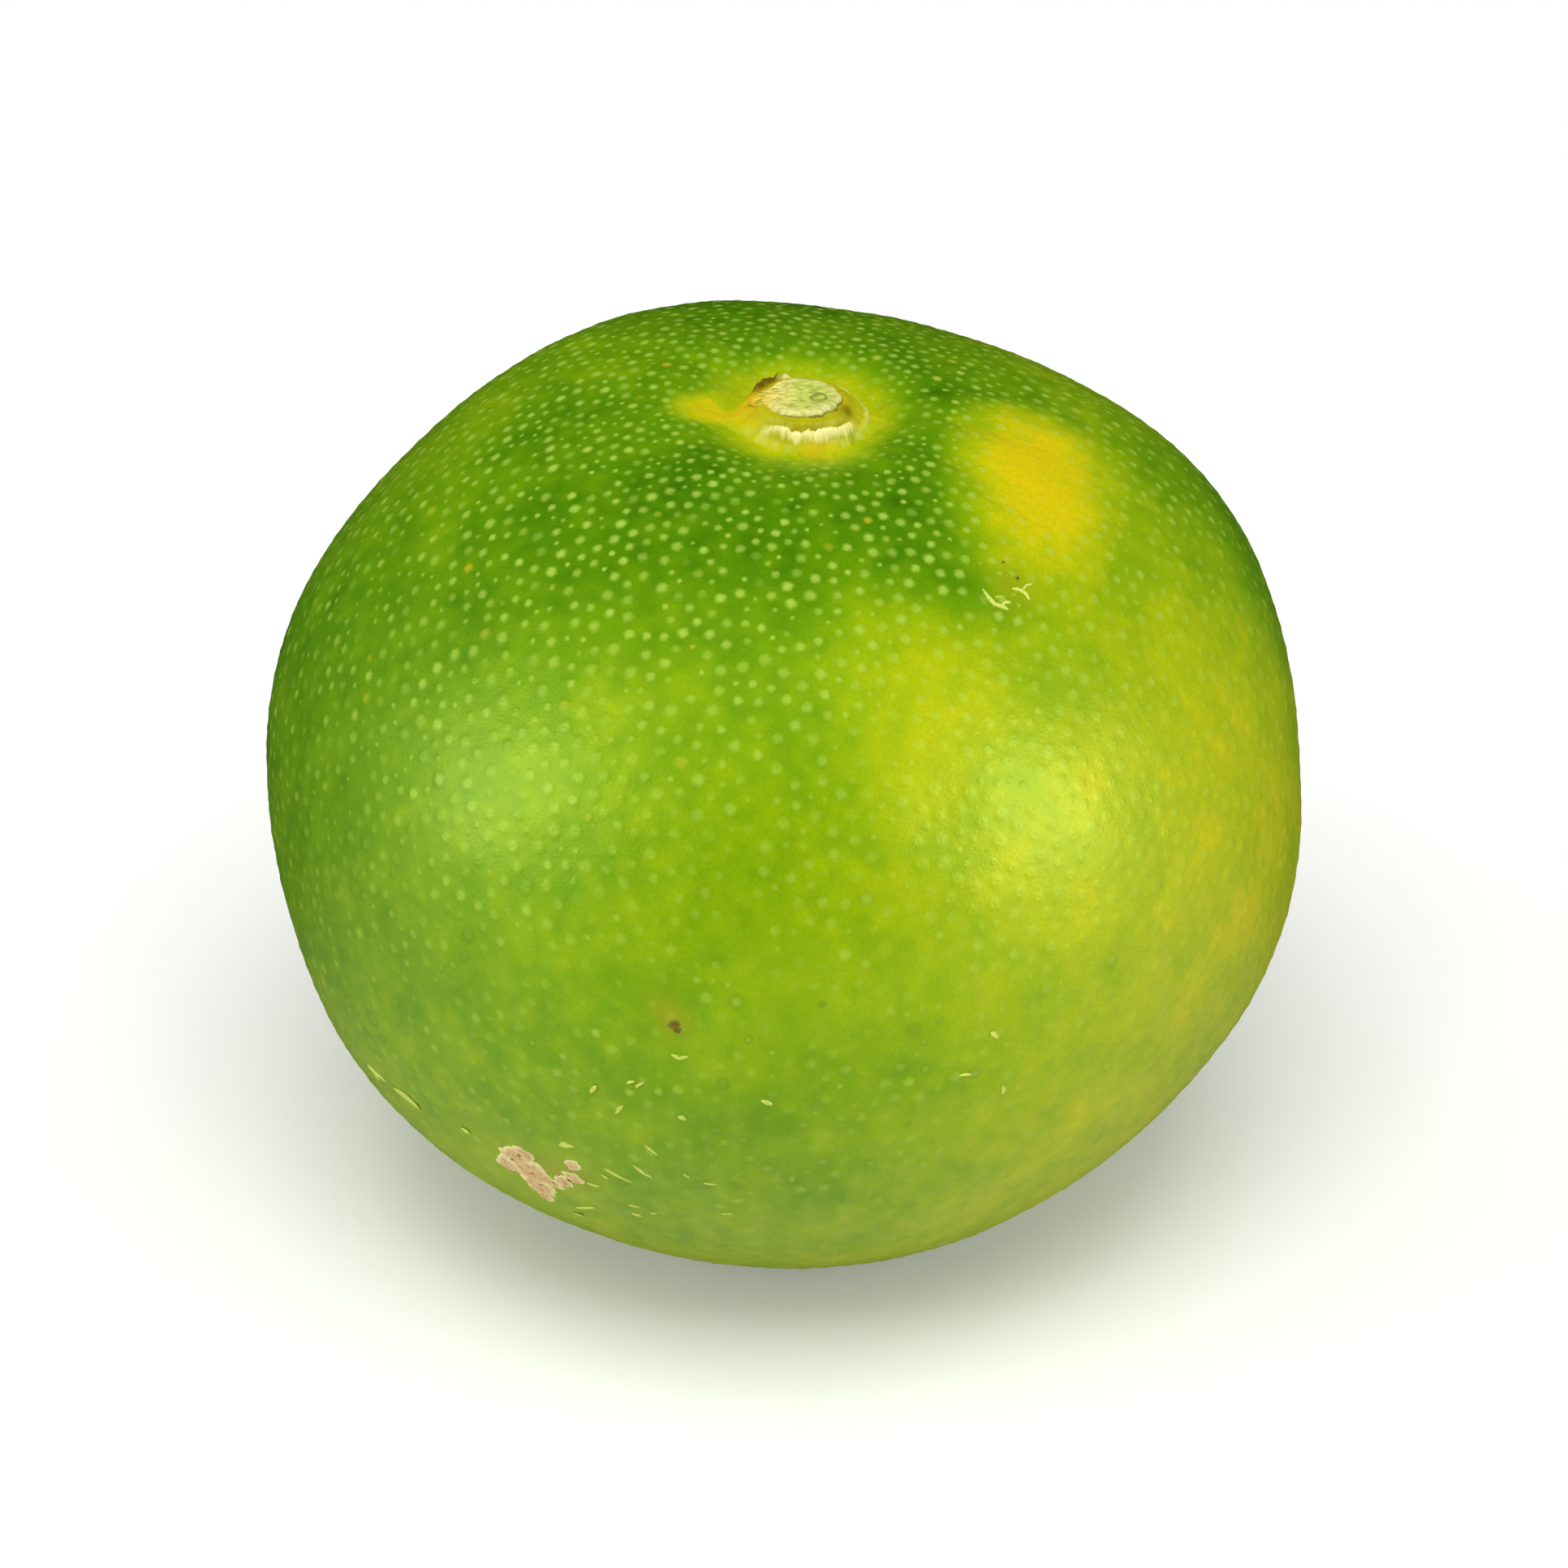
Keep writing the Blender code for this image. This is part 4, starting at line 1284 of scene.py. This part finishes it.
from_core = np.linalg.norm(flat - CORE_PLACE, axis=1)
leftness = np.clip(-flat[:, 0] / stub_half[0], -1, 1)
fibres = waves(np.column_stack((flat * (0.8, 4.0), np.zeros(len(flat)))), (0.5, 2.0), 62)
top = FACE_LEVEL - HOLLOW * (1 - level**3) - LEFT_FALL * np.clip(leftness - 0.35, 0, 1)
top += FIBRE_RELIEF * fibres * (1 - level**6)
top += RING_RISE * bell((from_core - RING_RADIUS) / RING_WIDTH)
top -= PITH_HOLE_DEPTH * bell(from_core / PITH_HOLE_RADIUS)
split = bell((flat[:, 0] - SPLIT_PLACE[0] - 0.1 * np.sin(flat[:, 1] * 5)) / SPLIT_WIDTH)
top += SPLIT_RISE * split * bell((flat[:, 1] - SPLIT_PLACE[1]) / SPLIT_LENGTH)
top -= ROUNDED_EDGE * level**14
height = np.where(drop > 0, top * (1 - drop) + 0.06 * drop, top)
stub_points = np.column_stack((stub_middle[:2] + flat, stub_low[2] + height * (stub_high[2] - stub_low[2])))
stub = surface("broken_stub", stub_points, *disc_faces(STUB_RINGS + STUB_SIDE_RINGS, STUB_COLUMNS))
print("stub:", len(stub.data.polygons), "faces")

# %% Stub colouring
paint(stub, "leftness", np.interp(leftness, (-0.1, 0.3, 0.8), (0.0, 0.55, 1.0)))
paint(stub, "from_core", from_core)
edge = level**8 * (drop < 0.4) * np.clip(0.7 + waves(stub_edge, (0.4, 2.0), 63), 0, 1)
paint(stub, "rim", edge * np.interp(leftness, (0.2, 0.7), (1.0, 0.0)))
paint(stub, "side", np.interp(drop, (0.35, 0.8), (0.0, 1.0)) * np.interp(leftness, (0.3, 0.9), (1.0, 0.4)))
paint(stub, "fibre_place", np.column_stack((flat * (1.2, 5.0), drop)))
print("core of the stub at", CORE_PLACE, "mm from its middle")

# %% Stub material
# From the right to the left, and the third lies between them
PITH_COLOURS = ((0.0, "#D4E066"), (1.0, "#FFD82A"), (0.6, "#F2E680"))
SPLINTER_COLOUR, RING_COLOUR, RIM_COLOUR, SIDE_COLOUR = "#949C2A", "#84902C", "#F4F09A", "#7C7414"
SPLINTER_RELIEF = 0.24

broken_pith, tree = start_material("broken_pith")
amount = {name: painted(tree, name) for name in ("leftness", "from_core", "rim", "side")}
fibre_place = painted(tree, "fibre_place", "Vector")
fibre = add_node(tree, "TexNoise", scale=1.0, detail=4.0, roughness=0.6, vector=fibre_place).outputs["Fac"]
colour = colour_ramp(tree, amount["leftness"], PITH_COLOURS)
dark = stretched(tree, fibre, 0.47, 0.62, 0.8)
from_core = amount["from_core"]
ring = stretched(tree, from_core, 0.62, 0.5, 0.8, soft=True)
inner = stretched(tree, from_core, 0.30, 0.40, soft=True)
ring = times(tree, ring, inner)
for cover, tint in (
    (dark, SPLINTER_COLOUR),
    (ring, RING_COLOUR),
    (amount["rim"], RIM_COLOUR),
    (amount["side"], SIDE_COLOUR),
):
    colour = mixed(tree, cover, colour, tint)
ridges = times(tree, fibre, SPLINTER_RELIEF)
dress(stub, broken_pith, colour, ridges, roughness=0.6, specular_ior_level=0.3)

# %% [markdown]
# ## Join the pieces to the frame
#
# Each finished surface takes the place of its plain solid, and all ride on the one body.

# %% Frame
for piece, node, slot in (
    (rind, "fruit", "rind"),
    (calyx, "calyx", "sepals"),
    (stub, "stem_stub", "stalk_pith"),
):
    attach(piece, "root")
    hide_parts(node)
for mark in (scratches, scars, spots):
    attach(mark, "root")
